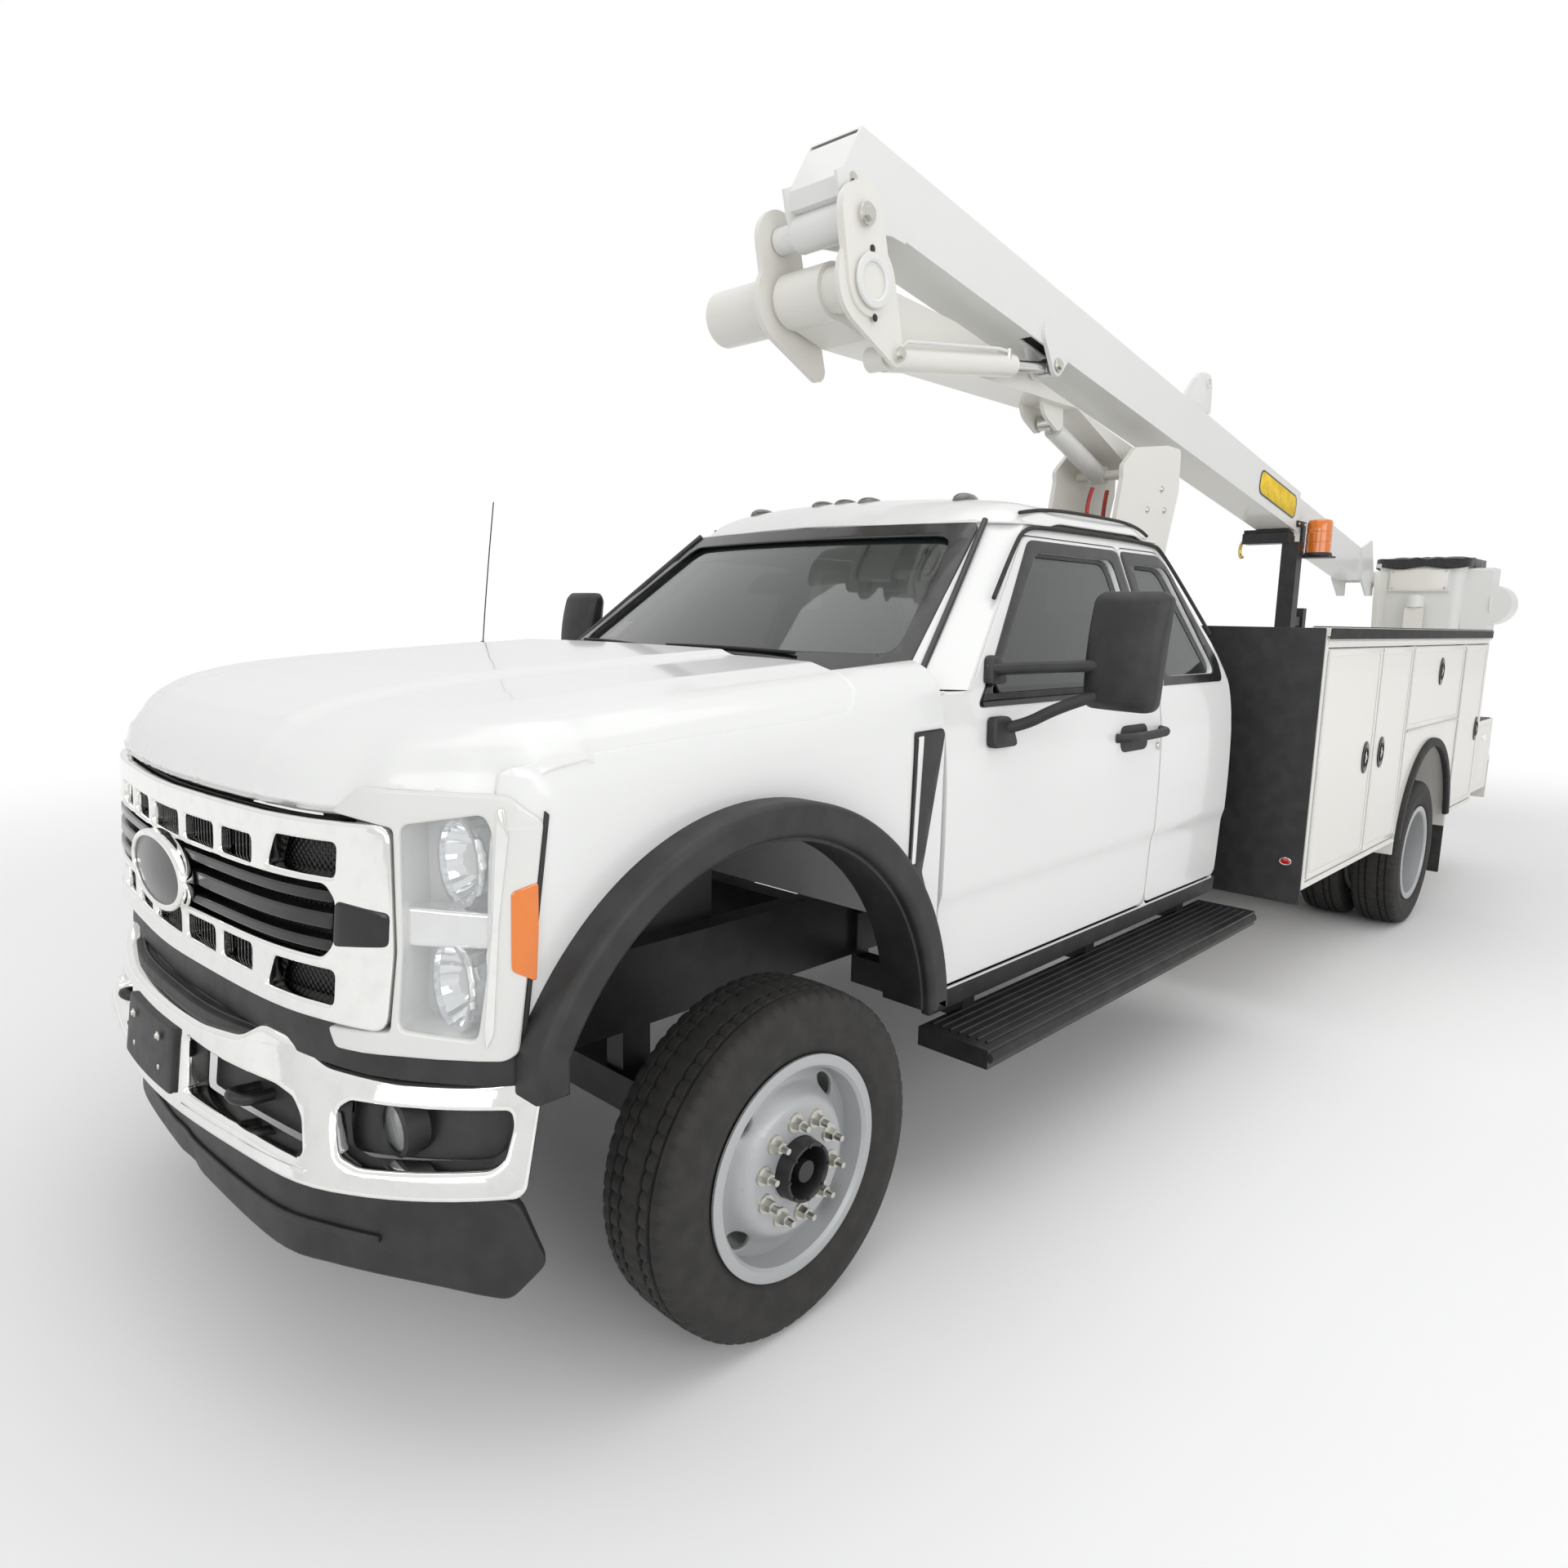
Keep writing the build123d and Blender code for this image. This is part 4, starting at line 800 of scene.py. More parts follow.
makeWheels()
print("stage: wheels")


# hood and fenders: height over the plan falls away near the outline
leftEdge = np.stack([np.linspace(-0.9, 0.48, 70), np.full(70, 0.985)], 1)
rightEdge = np.stack([np.linspace(0.48, -0.9, 70), np.full(70, -0.985)], 1)
outline = np.vstack([leftEdge, nose.rows[1][2][::-1], rightEdge])
sideness = np.clip((0.86 - outline[:, 0]) / 0.24, 0, 1)
frontRise = np.interp(np.abs(outline[:, 1]), [0, 0.69, 0.75, 0.95], [1.283, 1.281, 1.322, 1.318])
sideRise = np.interp(outline[:, 0], [-0.9, -0.3, 0.45, 0.70], [1.345, 1.315, 1.262, 1.30])
edgeHeight = np.where(outline[:, 0] > 0.70, frontRise, sideRise)
outlineStep = np.hypot(*np.diff(outline, axis=0, append=outline[-1:]).T) + 1e-6


# Fall of the hood's crown line towards the nose.
def topLine(x):
    return 1.538 - 0.066 * (x + 0.3) - 0.016 * np.clip(x - 0.25, 0, 1)


# Top height less a share of the drop to the edge, by the soft distance to the outline.
def hoodHeight(x, y):
    px, py = np.broadcast_arrays(np.asarray(x, float), np.asarray(y, float))
    far = np.hypot(px[..., None] - outline[:, 0], py[..., None] - outline[:, 1]) + 1e-4
    pull = outlineStep / far ** 5
    total = pull.sum(-1)
    depth = np.maximum((0.75 * total) ** -0.25 - 0.004, 0)
    low = (pull * edgeHeight).sum(-1) / total
    side = (pull * sideness).sum(-1) / total
    ahead = np.interp(depth, [0, 0.008, 0.02, 0.035, 0.05, 0.09, 0.15, 0.27, 0.42],
        [1, 0.87, 0.70, 0.565, 0.46, 0.27, 0.135, 0.045, 0])
    beside = np.interp(depth, [0, 0.004, 0.01, 0.017, 0.025, 0.04, 0.055, 0.08, 0.105, 0.185],
        [1, 0.82, 0.64, 0.52, 0.43, 0.31, 0.23, 0.145, 0.09, 0])
    crease = 0.50 - 0.07 * np.clip(px + 0.3, 0, 1.2)
    shoulder = np.clip((crease + 0.02 - np.abs(py)) / 0.045, 0, 1) ** 1.3
    dome = 0.013 * shoulder * np.clip(depth / 0.09, 0, 1)
    top = topLine(px) - 0.010 * (py / 0.8) ** 2
    return top + dome - (top - low) * (side * beside + (1 - side) * ahead)


# Hood's front and corner in plan.
def frontEdge(y):
    return np.interp(np.abs(y), [0, 0.2, 0.45, 0.60, 0.73, 0.81, 0.87, 0.904, 0.935, 0.955, 0.966],
        [0.931, 0.921, 0.896, 0.861, 0.801, 0.752, 0.712, 0.688, 0.662, 0.63, 0.60])


hood = {"rear": -0.282, "halfWidth": 0.966, "sheet": 0.012, "across": 161, "along": 90}


# Hood skin: rows run from the cowl to the front edge, closer together near it.
def makeHood():
    u = np.sin(np.linspace(-1, 1, hood["across"]) * np.pi / 2 * 0.93) / np.sin(np.pi / 2 * 0.93)
    y = hood["halfWidth"] * u
    v = np.linspace(0, 1, hood["along"])[:, None]
    v = 1 - (1 - v) ** 1.7
    x = hood["rear"] + (frontEdge(y) - hood["rear"]) * v
    yy = np.broadcast_to(y, x.shape)
    places = np.stack([x, yy, hoodHeight(x, yy)], -1)
    lip = places[-1] + (-0.012, 0, -0.018)
    tail = places[0] + (-0.006, 0, -0.022)
    places = np.concatenate([tail[None], places, lip[None]])
    gridMesh("hoodSkin", places, "white", "hood_lid", hood["sheet"], ("hood",), smooth=40)


makeHood()

sideRows = np.array(((0.55, 0.968), (0.61, 0.970), (0.85, 0.981), (1.05, 0.985), (1.22, 0.984)))
# half width of the fender at each drop below the crown line
shoulderDrop = [0, 0.004, 0.012, 0.02, 0.033, 0.05, 0.07, 0.095, 0.115, 0.14, 0.165, 0.195, 0.24]
shoulderHalf = [0.74, 0.80, 0.85, 0.88, 0.907, 0.93, 0.947, 0.960, 0.968, 0.975, 0.980, 0.984, 0.986]


# Side wall that turns over the shoulder and round the nose; places are along, up and out.
def fenderWall(c):
    x, z, out = c.T
    top = topLine(x) - 0.012
    under = top - z
    wall = np.interp(z, sideRows[:, 0], sideRows[:, 1])
    over = np.interp(under, shoulderDrop, shoulderHalf)
    w = np.clip((z - 0.85) / 0.47, 0, 1)
    low = np.interp(x, [0.55, 0.61, 0.67, 0.71, 0.746, 0.78, 0.81],
        [0.998, 0.994, 0.978, 0.946, 0.904, 0.855, 0.81])
    high = np.interp(x, [0.5, 0.56, 0.63, 0.66, 0.69, 0.72, 0.75],
        [0.995, 0.989, 0.968, 0.942, 0.904, 0.86, 0.81])
    front = low + (high - low) * w
    y = -np.log(np.exp(-220 * wall) + np.exp(-220 * over) + np.exp(-220 * front)) / 220
    near = np.clip(under / 0.14, 0, 1)
    return np.stack([x, y + out * (0.35 + 0.65 * near), z - out * (1 - near) * -0.9], 1)


# Arc through three places, as a list.
def archLine(points, count=60):
    (x0, z0), (x1, z1), (x2, z2) = points
    m = np.array([[x1 - x0, z1 - z0], [x2 - x1, z2 - z1]])
    squares = [((x1 * x1 - x0 * x0) + (z1 * z1 - z0 * z0)) / 2,
        ((x2 * x2 - x1 * x1) + (z2 * z2 - z1 * z1)) / 2]
    cx, cz = np.linalg.solve(m, squares)
    r = math.hypot(x0 - cx, z0 - cz)
    a0, a2 = math.atan2(z0 - cz, x0 - cx), math.atan2(z2 - cz, x2 - cx)
    a = np.linspace(a0, a2 + (2 * math.pi if a2 < a0 else 0), count)
    return np.stack([cx + r * np.cos(a), cz + r * np.sin(a)], 1).tolist()


archOut = archLine(((0.666, 0.87), (0.078, 1.251), (-0.571, 0.64)))
archIn = archLine(((0.598, 0.85), (0.06, 1.172), (-0.492, 0.64)))
archMid = archLine(((0.63, 0.86), (0.07, 1.21), (-0.53, 0.64)))
fenderLoop = [
    (0.668, 1.31), (0.664, 1.357), (0.650, 1.368), (0.60, 1.3745), (0.421, 1.384), (0.126, 1.399),
    (-0.127, 1.409), (-0.236, 1.421), (-0.252, 1.435), (-0.278, 1.470), (-0.287, 1.511),
    (-0.596, 1.530), (-0.603, 1.52), (-0.603, 0.62), *archMid[::-1], (0.70, 0.87), (0.694, 1.0),
    (0.680, 1.2),
]
pair("fender", [fenderLoop], -0.012, 0.0, fenderWall, "white", bevel=0.0025, step=0.02,
    hides=(("fenders",), ("fenders",)), smooth=40)


# Left and right piece that stands between two half widths of the truck.
def bar(name, loops, low, high, material, **words):
    pair(name, loops, low, high, sideways(0.0), material, **words)


flareLoop = archOut + [(-0.571, 0.636), (-0.492, 0.636)] + archIn[::-1] + [(0.60, 0.78), (0.668, 0.78)]
bar("frontFlare", [flareLoop], 0.955, 1.058, "black", bevel=0.022, step=0.0, rings=6,
    hides=(("flares_and_flaps",), ("flares_and_flaps",)))
lipOut = archLine(((0.604, 0.85), (0.06, 1.179), (-0.499, 0.64)))
lipIn = archLine(((0.590, 0.85), (0.06, 1.162), (-0.482, 0.64)))
lipLoop = lipOut + lipIn[::-1]
bar("frontFlareLip", [lipLoop], 0.90, 1.03, "black", bevel=0.004, step=0.0)


# Arch whose two feet end at a height.
def ring(x, z, r0, r1, low):
    sides = []
    for r in (r0, r1):
        start = math.asin((low - z) / r)
        a = np.linspace(start, math.pi - start, 60)
        sides.append(np.stack([x + r * np.cos(a), z + r * np.sin(a)], 1).tolist())
    return sides[0] + sides[1][::-1]


bar("rearFlare", [ring(-4.877, 0.485, 0.566, 0.518, 0.562)], 1.192, 1.222, "rubber", bevel=0.009,
    step=0.0, rings=4)
bar("mudFlap", [rect(-5.560, -5.545, 0.18, 0.56, 0.003)], 0.83, 1.18, "rubber", bevel=0.003, step=0.0)

# grille: places along the front wall and heights
grille = {
    "shell": [(-0.863, 0.884), (0.863, 0.884), (0.868, 1.03), (0.860, 1.10), (0.842, 1.255),
              (-0.842, 1.255), (-0.860, 1.10), (-0.868, 1.03)],
    "slot": [(-0.727, 1.03), (-0.70, 1.003), (0.70, 1.003), (0.727, 1.03), (0.727, 1.11),
             (0.70, 1.137), (-0.70, 1.137), (-0.727, 1.11)],
    "end": [(0.733, 1.028), (0.858, 1.040), (0.856, 1.100), (0.733, 1.112)],
    "cellRows": (("cellBarsHigh", 1.147, 1.20), ("cellBarsLow", 0.932, 0.985)),
    "middleCell": 0.10,
    "sideCells": ((0.13, 0.29), (0.32, 0.465)),
    "outerCells": ((0.54, 0.725, 1.152, 1.215), (0.54, 0.735, 0.917, 0.980)),
    "cellRadius": 0.012,
    "barHalf": 0.722,
    "bars": (("grilleBarLow", 1.014, 1.036), ("grilleBarMid", 1.055, 1.086),
             ("grilleBarHigh", 1.104, 1.126)),
    "finPitch": 0.0165,
}
cells = []
for name, low, high in grille["cellRows"]:
    cells.append(rect(-grille["middleCell"], grille["middleCell"], low, high, grille["cellRadius"]))
    for a, b in grille["sideCells"]:
        cells.append(rect(a, b, low, high, grille["cellRadius"]))
        cells.append(rect(-b, -a, low, high, grille["cellRadius"]))
for a, b, low, high in grille["outerCells"]:
    cells.append(rounded([(a - 0.02, low), (b, low), (b, high), (a + 0.01, high)], 0.014))
    cells.append(rounded([(-b, low), (-a + 0.02, low), (-a - 0.01, high), (-b, high)], 0.014))
shellLoops = [rounded(grille["shell"], 0.03), rounded(grille["slot"], 0.014), *cells]
plate("grilleShell", shellLoops, -0.035, 0.006, nose, "chrome", bevel=0.007, rings=4,
      hides=("grille",))
plate("grilleMesh", [rect(-0.80, 0.80, 0.90, 1.24)], -0.062, -0.05, nose, "mesh", bevel=0.001)
for name, low, high in grille["bars"]:
    bars = [rect(-grille["barHalf"], grille["barHalf"], low, high, 0.006)]
    plate(name, bars, -0.03, 0.004, nose, "trim", bevel=0.005, rings=3)
pair("grilleEnd", [rounded(grille["end"], 0.012)], -0.01, 0.0105, nose, "trim", bevel=0.004)
for name, low, high in grille["cellRows"]:
    starts = np.arange(-0.46, 0.46, grille["finPitch"])
    fins = [rect(s, s + 0.005, low - 0.006, high + 0.006, 0.003) for s in starts]
    plate(name, fins, -0.034, -0.022, nose, "trim", bevel=0.001, step=0)


badge = {"height": 1.06, "outer": (0.181, 0.0875), "inner": (0.164, 0.0715), "face": (0.166, 0.0735)}


# One of the badge's ovals.
def badgeOval(part):
    return oval(0, badge["height"], *badge[part], 72)


# Crowned oval standing proud of the grille.
def ovalFace(c):
    y, z, out = c.T
    crown = 0.012 * (1 - (y / 0.18) ** 2 - ((z - badge["height"]) / 0.087) ** 2)
    return np.stack([0.936 + out + crown, y, z], 1)


plate("badgeRim", [badgeOval("outer"), badgeOval("inner")], 0.0, 0.028, ovalFace, "chrome",
      bevel=0.005, step=0, rings=4)
plate("badgeFace", [badgeOval("face")], 0.0, 0.019, ovalFace, "trim", bevel=0.002, step=0.03)
plate("upperTrim", [rect(-0.70, 0.70, 1.258, 1.30, 0.004)], -0.07, -0.03, nose, "black", bevel=0.003)

# head lamps: outlines along the front wall and up it
housing = rounded([
    (0.706, 1.271), (0.767, 1.320), (1.073, 1.320), (1.144, 1.273), (1.126, 0.860), (1.10, 0.847),
    (0.742, 0.840), (0.719, 0.877), (0.868, 0.885), (0.872, 1.03), (0.864, 1.10), (0.848, 1.25)],
    0.012)
recess = rounded([
    (0.862, 1.256), (1.030, 1.284), (1.050, 1.25), (1.054, 1.114), (1.063, 1.094), (1.050, 1.037),
    (1.056, 1.009), (1.046, 0.884), (0.886, 0.892), (0.884, 1.04), (0.878, 1.10)], 0.018)
lampBar = rounded([(0.874, 1.037), (1.052, 1.043), (1.054, 1.107), (0.872, 1.110)], 0.008)
lampEdge = rounded([
    (1.058, 1.295), (1.070, 1.30), (1.082, 1.25), (1.075, 1.10), (1.078, 0.90), (1.066, 0.87),
    (1.060, 0.90), (1.063, 1.10)], 0.006)
marker = rounded([
    (1.091, 1.151), (1.139, 1.167), (1.146, 1.08), (1.148, 0.987), (1.101, 1.011)], 0.008)
lampSeam = rounded([(1.146, 1.290), (1.156, 1.282), (1.137, 0.848), (1.128, 0.850)], 0.003)
lampPieces = (
    # name, outlines, from, to, finish, bevel, rings, nodes it stands for
    ("lampHousing", [housing, recess], -0.10, 0.004, "lampWhite", 0.006, 4, ("lamps",)),
    ("lampBack", [recess], -0.104, -0.094, "lampWhite", 0.001, 2, ()),
    ("lampBar", [lampBar], -0.06, -0.012, "chrome", 0.007, 3, ()),
    ("lampEdge", [lampEdge], 0.0, 0.009, "chrome", 0.003, 2, ()),
    ("lampLens", [recess], -0.010, -0.004, "clear", 0.001, 2, ()),
    ("markerLens", [marker], -0.012, 0.0065, "amber", 0.003, 2, ()),
    ("lampSeam", [lampSeam], -0.03, -0.002, "black", 0.001, 2, ()),
)
for name, loops, low, high, finish, bevel, rings, nodes in lampPieces:
    pair(name, loops, low, high, nose, finish, bevel=bevel, rings=rings, hides=(nodes, nodes))

lampBowls = (
    # name, place along the wall, height, half width, half height
    ("highBeam", 0.958, 1.190, 0.075, 0.066),
    ("lowBeam", 0.960, 0.965, 0.077, 0.062),
)
# radius share and depth, from the back round the bowl and the bulb to the rim
bowlLine = [
    (1.0, -0.10), (0.0, -0.095), (0.0, -0.060), (0.15, -0.062), (0.16, -0.090), (0.36, -0.088),
    (0.62, -0.074), (0.85, -0.052), (0.98, -0.032), (1.12, -0.03), (1.12, -0.020), (1.0, -0.020),
]


# Oval bowl, dimpled into small facets.
def facetBowl(wide, tall):
    def facet(a, r, h):
        stretch = np.hypot(np.cos(a) * tall, np.sin(a) * wide)
        return r * stretch * (1 + 0.018 * np.cos(a * 18)), h
    return facet


for name, s, z, wide, tall in lampBowls:
    x, y = nose.plan(np.array([s]), np.array([z]))
    center = (float(x[0]) - 0.012, float(y[0]) - 0.012, z)
    for side, flipped in bothSides:
        lathe(f"{name}_{side}", bowlLine, "x", center, "mirror", "chassis", (), 72, flipped,
              facetBowl(wide, tall), 20)

# bumper and air dam
bumperTop = [
    (0.26, 0.779), (0.408, 0.790), (0.476, 0.826), (0.601, 0.801), (0.649, 0.775), (0.813, 0.770),
    (0.967, 0.771), (1.075, 0.781), (1.097, 0.762),
]
bumperFoot = [(1.093, 0.585), (1.078, 0.571), (-1.078, 0.571), (-1.093, 0.585)]
bumperLoop = rounded(flip(bumperTop[::-1]) + bumperTop + bumperFoot, 0.02)[::-1]
fogHole = rounded([(0.695, 0.705), (0.721, 0.724), (1.041, 0.722), (1.050, 0.698), (1.043, 0.639),
    (1.021, 0.624), (0.769, 0.617), (0.723, 0.630), (0.702, 0.673)], 0.012)
midHole = rounded([(0.201, 0.740), (0.362, 0.728), (0.531, 0.722), (0.584, 0.707), (0.615, 0.678),
    (0.638, 0.622), (0.623, 0.610), (0.437, 0.618), (0.205, 0.620)], 0.012)
bumperLoops = [bumperLoop, fogHole, flip(fogHole), midHole, flip(midHole)]
plate("bumperShell", bumperLoops, -0.055, 0.0, bumper, "chrome", bevel=0.010, rings=4,
      hides=("front_bumper",), smooth=45)
fogPocket = rounded([(0.68, 0.735), (1.07, 0.733), (1.06, 0.61), (0.69, 0.61)], 0.01)
midPocket = rounded([(0.19, 0.745), (0.64, 0.73), (0.66, 0.605), (0.19, 0.61)], 0.01)
for name, loop in (("fogPocket", fogPocket), ("midPocket", midPocket)):
    pair(name, [loop], -0.085, -0.072, bumper, "black", bevel=0.002)
fogParts = (
    # name, radius and depth of its line, finish
    ("fogRing", [(0.050, -0.04), (0.056, -0.035), (0.056, 0.010), (0.050, 0.016),
                 (0.046, 0.012), (0.046, -0.04)], "black"),
    ("fogBowl", [(0.045, 0.002), (0.038, -0.018), (0.020, -0.032), (0.0, -0.036),
                 (0.0, -0.04), (0.046, -0.04)], "mirror"),
    ("fogLens", [(0.0455, 0.006), (0.03, 0.011), (0.0, 0.013), (0.0, 0.010),
                 (0.03, 0.008), (0.0455, 0.003)], "clear"),
)
hookLine = [
    (0.80, 0.36, 0.655), (0.90, 0.36, 0.655), (0.945, 0.36, 0.66), (0.96, 0.385, 0.668),
    (0.945, 0.41, 0.66), (0.90, 0.41, 0.655), (0.80, 0.41, 0.655),
]
x, y = bumper.plan(np.array([0.80]), np.array([0.672]))
fogPlace = (float(x[0]) - 0.05, float(y[0]) - 0.018, 0.671)
for side, flipped in bothSides:
    for name, line, finish in fogParts:
        lathe(f"{name}_{side}", line, "x", fogPlace, finish, "chassis", (), 48, flipped)
    tube(f"towHook_{side}", hookLine, 0.013, "frame", "chassis", (), flipped)
pair("bumperLip", [rounded([(0.20, 0.594), (0.66, 0.594), (0.66, 0.600), (0.20, 0.600)], 0.002)],
    -0.002, 0.003, bumper, "chrome", bevel=0.001)
plate("plateHolder", [rect(-0.165, 0.165, 0.605, 0.745, 0.012)], -0.002, 0.010, bumper, "black",
    bevel=0.004)
plateHoles = [(1.006, y, z) for y in (-0.09, 0.09) for z in (0.645, 0.715)]
bolts("plateBolts", plateHoles, "x", 0.007, 0.005, "zinc", "chassis")
damLoop = [(-1.173, 0.424), (-1.084, 0.357), (1.084, 0.357), (1.173, 0.424), (1.139, 0.549),
    (1.08, 0.569), (-1.08, 0.569), (-1.139, 0.549)]
plate("airDam", [rounded(damLoop, 0.02)], -0.03, 0.0, dam, "black", bevel=0.008, rings=3,
    hides=("air_dam",))
plate("damRib", [rect(-0.80, 0.80, 0.43, 0.446, 0.006)], -0.002, 0.008, dam, "black", bevel=0.004)
padFront = curveThrough([(0.862, -0.60), (0.905, -0.45), (0.948, -0.24), (0.957, 0), (0.948, 0.24),
    (0.905, 0.45), (0.862, 0.60)])
padLoop = padFront.tolist() + [(0.80, 0.60), (0.80, -0.60)]

stepPad = {"foot": 0.775, "top": 0.797, "ribHalf": 0.43, "ribBack": (0.018, 0.036, 0.054, 0.072)}
plate("stepPad", [padLoop], stepPad["foot"], stepPad["top"], level(0.0), "black", bevel=0.004, step=0)
for k, back in enumerate(stepPad["ribBack"]):
    line = padFront[np.abs(padFront[:, 1]) < stepPad["ribHalf"]] - (back, 0)
    tube(f"padRib{k}", [(x, y, stepPad["top"]) for x, y in line[::6]], 0.004, "black", "chassis")
plate("lowerTrim", [rect(-1.13, 1.13, 0.79, 0.878, 0.004)], -0.07, -0.022, nose, "black", bevel=0.003)
print("stage: front")


# cab: height and half width of its side, with a soft crease low down
doorRows = np.array(((0.55, 0.955), (0.62, 0.962), (0.70, 0.966), (0.80, 0.970), (0.865, 0.9725),
    (0.885, 0.9765), (0.905, 0.9835), (0.95, 0.985), (1.05, 0.9865), (1.15, 0.9855), (1.22, 0.9835),
    (1.30, 0.977), (1.36, 0.9685), (1.41, 0.9575), (1.45, 0.945), (1.48, 0.9345), (1.50, 0.9275),
    (1.94, 0.7475), (2.0, 0.723)))


# Side of the cab: places are along, up and out of its half width.
def doorWall(c):
    x, z, out = c.T
    return np.stack([x, np.interp(z, doorRows[:, 0], doorRows[:, 1]) + out, z], 1)


frontDoor = rounded([(-0.617, 0.638), (-1.9115, 0.638), (-1.9115, 1.899), (-1.285, 1.899),
    (-0.755, 1.446), (-0.617, 1.446)], 0.03)
frontWindow = rounded([(-0.845, 1.430), (-1.840, 1.430), (-1.840, 1.850), (-1.330, 1.850)], 0.045)
frontTrim = rounded([(-0.775, 1.400), (-1.9085, 1.400), (-1.9085, 1.888), (-1.305, 1.888)], 0.035)
rearDoor = rounded([(-1.9185, 0.638), (-2.558, 0.638), (-2.558, 1.42), (-2.50, 1.56), (-2.29, 1.85),
    (-2.23, 1.899), (-1.9185, 1.899)], 0.035)
rearWindow = rounded([(-1.990, 1.452), (-2.437, 1.452), (-2.262, 1.843), (-1.990, 1.847)], 0.045)
rearTrim = rounded([(-1.922, 1.420), (-2.490, 1.420), (-2.493, 1.50), (-2.290, 1.845), (-2.235, 1.888),
    (-1.922, 1.888)], 0.03)
belt = rounded([(-0.80, 1.418), (-1.905, 1.418), (-1.905, 1.436), (-0.82, 1.436)], 0.004)
handleCup = rounded([(-1.60, 1.212), (-1.80, 1.212), (-1.80, 1.300), (-1.60, 1.300)], 0.035)
mirrorFoot = rounded([(-0.80, 1.29), (-0.925, 1.29), (-0.90, 1.375), (-0.815, 1.375)], 0.02)
mirrorFootHigh = rounded([(-0.825, 1.462), (-0.915, 1.462), (-0.915, 1.540), (-0.870, 1.540)], 0.02)
doorPieces = (
    # name, outlines, from, to, finish, door, bevel, step, rings
    ("doorSkin", [frontDoor, frontWindow], -0.052, 0.0, "white", "door", 0.004, 0.02, 2),
    ("rearDoorSkin", [rearDoor, rearWindow], -0.052, 0.0, "white", "rear_door", 0.004, 0.02, 2),
    ("windowTrim", [frontTrim, frontWindow], -0.002, 0.0035, "trim", "door", 0.002, 0.04, 2),
    ("rearWindowTrim", [rearTrim, rearWindow], -0.002, 0.0035, "trim", "rear_door", 0.002, 0.04, 2),
    ("beltSeal", [belt], 0.002, 0.012, "rubber", "door", 0.003, 0.06, 2),
    ("handleCup", [handleCup], -0.004, 0.002, "black", "door", 0.001, 0, 2),
    ("mirrorFoot", [mirrorFoot], -0.002, 0.030, "black", "door", 0.009, 0, 4),
    ("mirrorFootHigh", [mirrorFootHigh], -0.002, 0.030, "black", "door", 0.009, 0, 4),
)
doorHandle = {
    "bar": [(-1.575, 0.978, 1.262), (-1.60, 1.018, 1.264), (-1.68, 1.024, 1.266),
            (-1.80, 1.024, 1.268), (-1.885, 1.018, 1.270), (-1.905, 0.975, 1.270)],
    "thick": 0.0155,
    "key": (-1.885, 0.982, 1.215),
    "keyLine": [(0.0, 0.0), (0.013, 0.0), (0.014, 0.006), (0.011, 0.009), (0.0, 0.009)],
}
mirrorArms = (
    ((-0.86, 0.93, 1.500), (-0.93, 1.04, 1.510), (-1.00, 1.19, 1.520)),
    ((-0.86, 0.955, 1.335), (-0.90, 1.02, 1.345), (-0.94, 1.12, 1.41), (-1.00, 1.19, 1.44)),
)
mirrorHead = rounded([(1.142, 1.405), (1.350, 1.400), (1.358, 1.70), (1.335, 1.719), (1.165, 1.719),
    (1.142, 1.70)], 0.035, 7)
mirrorGlass = rounded([(1.156, 1.52), (1.344, 1.52), (1.344, 1.704), (1.156, 1.704)], 0.022, 5)
mirrorSpot = rounded([(1.156, 1.418), (1.344, 1.418), (1.344, 1.508), (1.156, 1.508)], 0.022, 5)
mirrorLamp = rounded([(1.262, 1.452), (1.332, 1.452), (1.332, 1.472), (1.262, 1.472)], 0.008)
mirrorPieces = (
    # name, outline, from, to, finish, bevel, step, rings
    ("mirrorShell", mirrorHead, -1.055, -0.962, "black", 0.028, 0.03, 6),
    ("mirrorGlass", mirrorGlass, -1.0585, -1.054, "mirror", 0.001, 0, 2),
    ("mirrorSpot", mirrorSpot, -1.0585, -1.054, "mirror", 0.001, 0, 2),
    ("mirrorLamp", mirrorLamp, -0.99, -0.966, "clear", 0.003, 0, 2),
)


# Mirror head leans back as it rises; its front is crowned.
def mirrorPlace(c):
    y, z, out = c.T
    bulge = ((y - 1.25) / 0.11) ** 2 + ((z - 1.56) / 0.16) ** 2
    crown = 0.022 * np.clip((out + 1.05) / 0.08, 0, 1) * bulge
    return np.stack([out - crown - 0.12 * (z - 1.40), y, z], 1)


for side, flipped in bothSides:
    for name, loops, low, high, finish, door, bevel, step, rings in doorPieces:
        on = f"{door}_{side}"
        hides = (on,) if name.endswith("Skin") else ()
        plate(f"{name}_{side}", loops, low, high, doorWall, finish, on, bevel, step, hides, flipped,
              rings)
    on = f"door_{side}"
    tube(f"handleBar_{side}", doorHandle["bar"], doorHandle["thick"], "black", on, (), flipped)
    lathe(f"keyCylinder_{side}", doorHandle["keyLine"], "y", doorHandle["key"], "zinc", on, (), 24,
          flipped)
    for k, arm in enumerate(mirrorArms):
        tube(f"mirrorArm{k}_{side}", arm, 0.0165, "black", on, (), flipped)
    for name, loop, low, high, finish, bevel, step, rings in mirrorPieces:
        hides = (f"mirror_{side}",) if name == "mirrorShell" else ()
        plate(f"{name}_{side}", [loop], low, high, mirrorPlace, finish, on, bevel, step, hides,
              flipped, rings)


# Raked windshield, bowed across.
def screenWall(c):
    y, z, out = c.T
    w = (z - 1.45) / 0.49
    x = -0.45 - 0.67 * w - (0.17 - 0.08 * w) * (y / (0.83 - 0.19 * w)) ** 2
    return np.stack([x + 0.58 * out, y, z + 0.81 * out], 1)


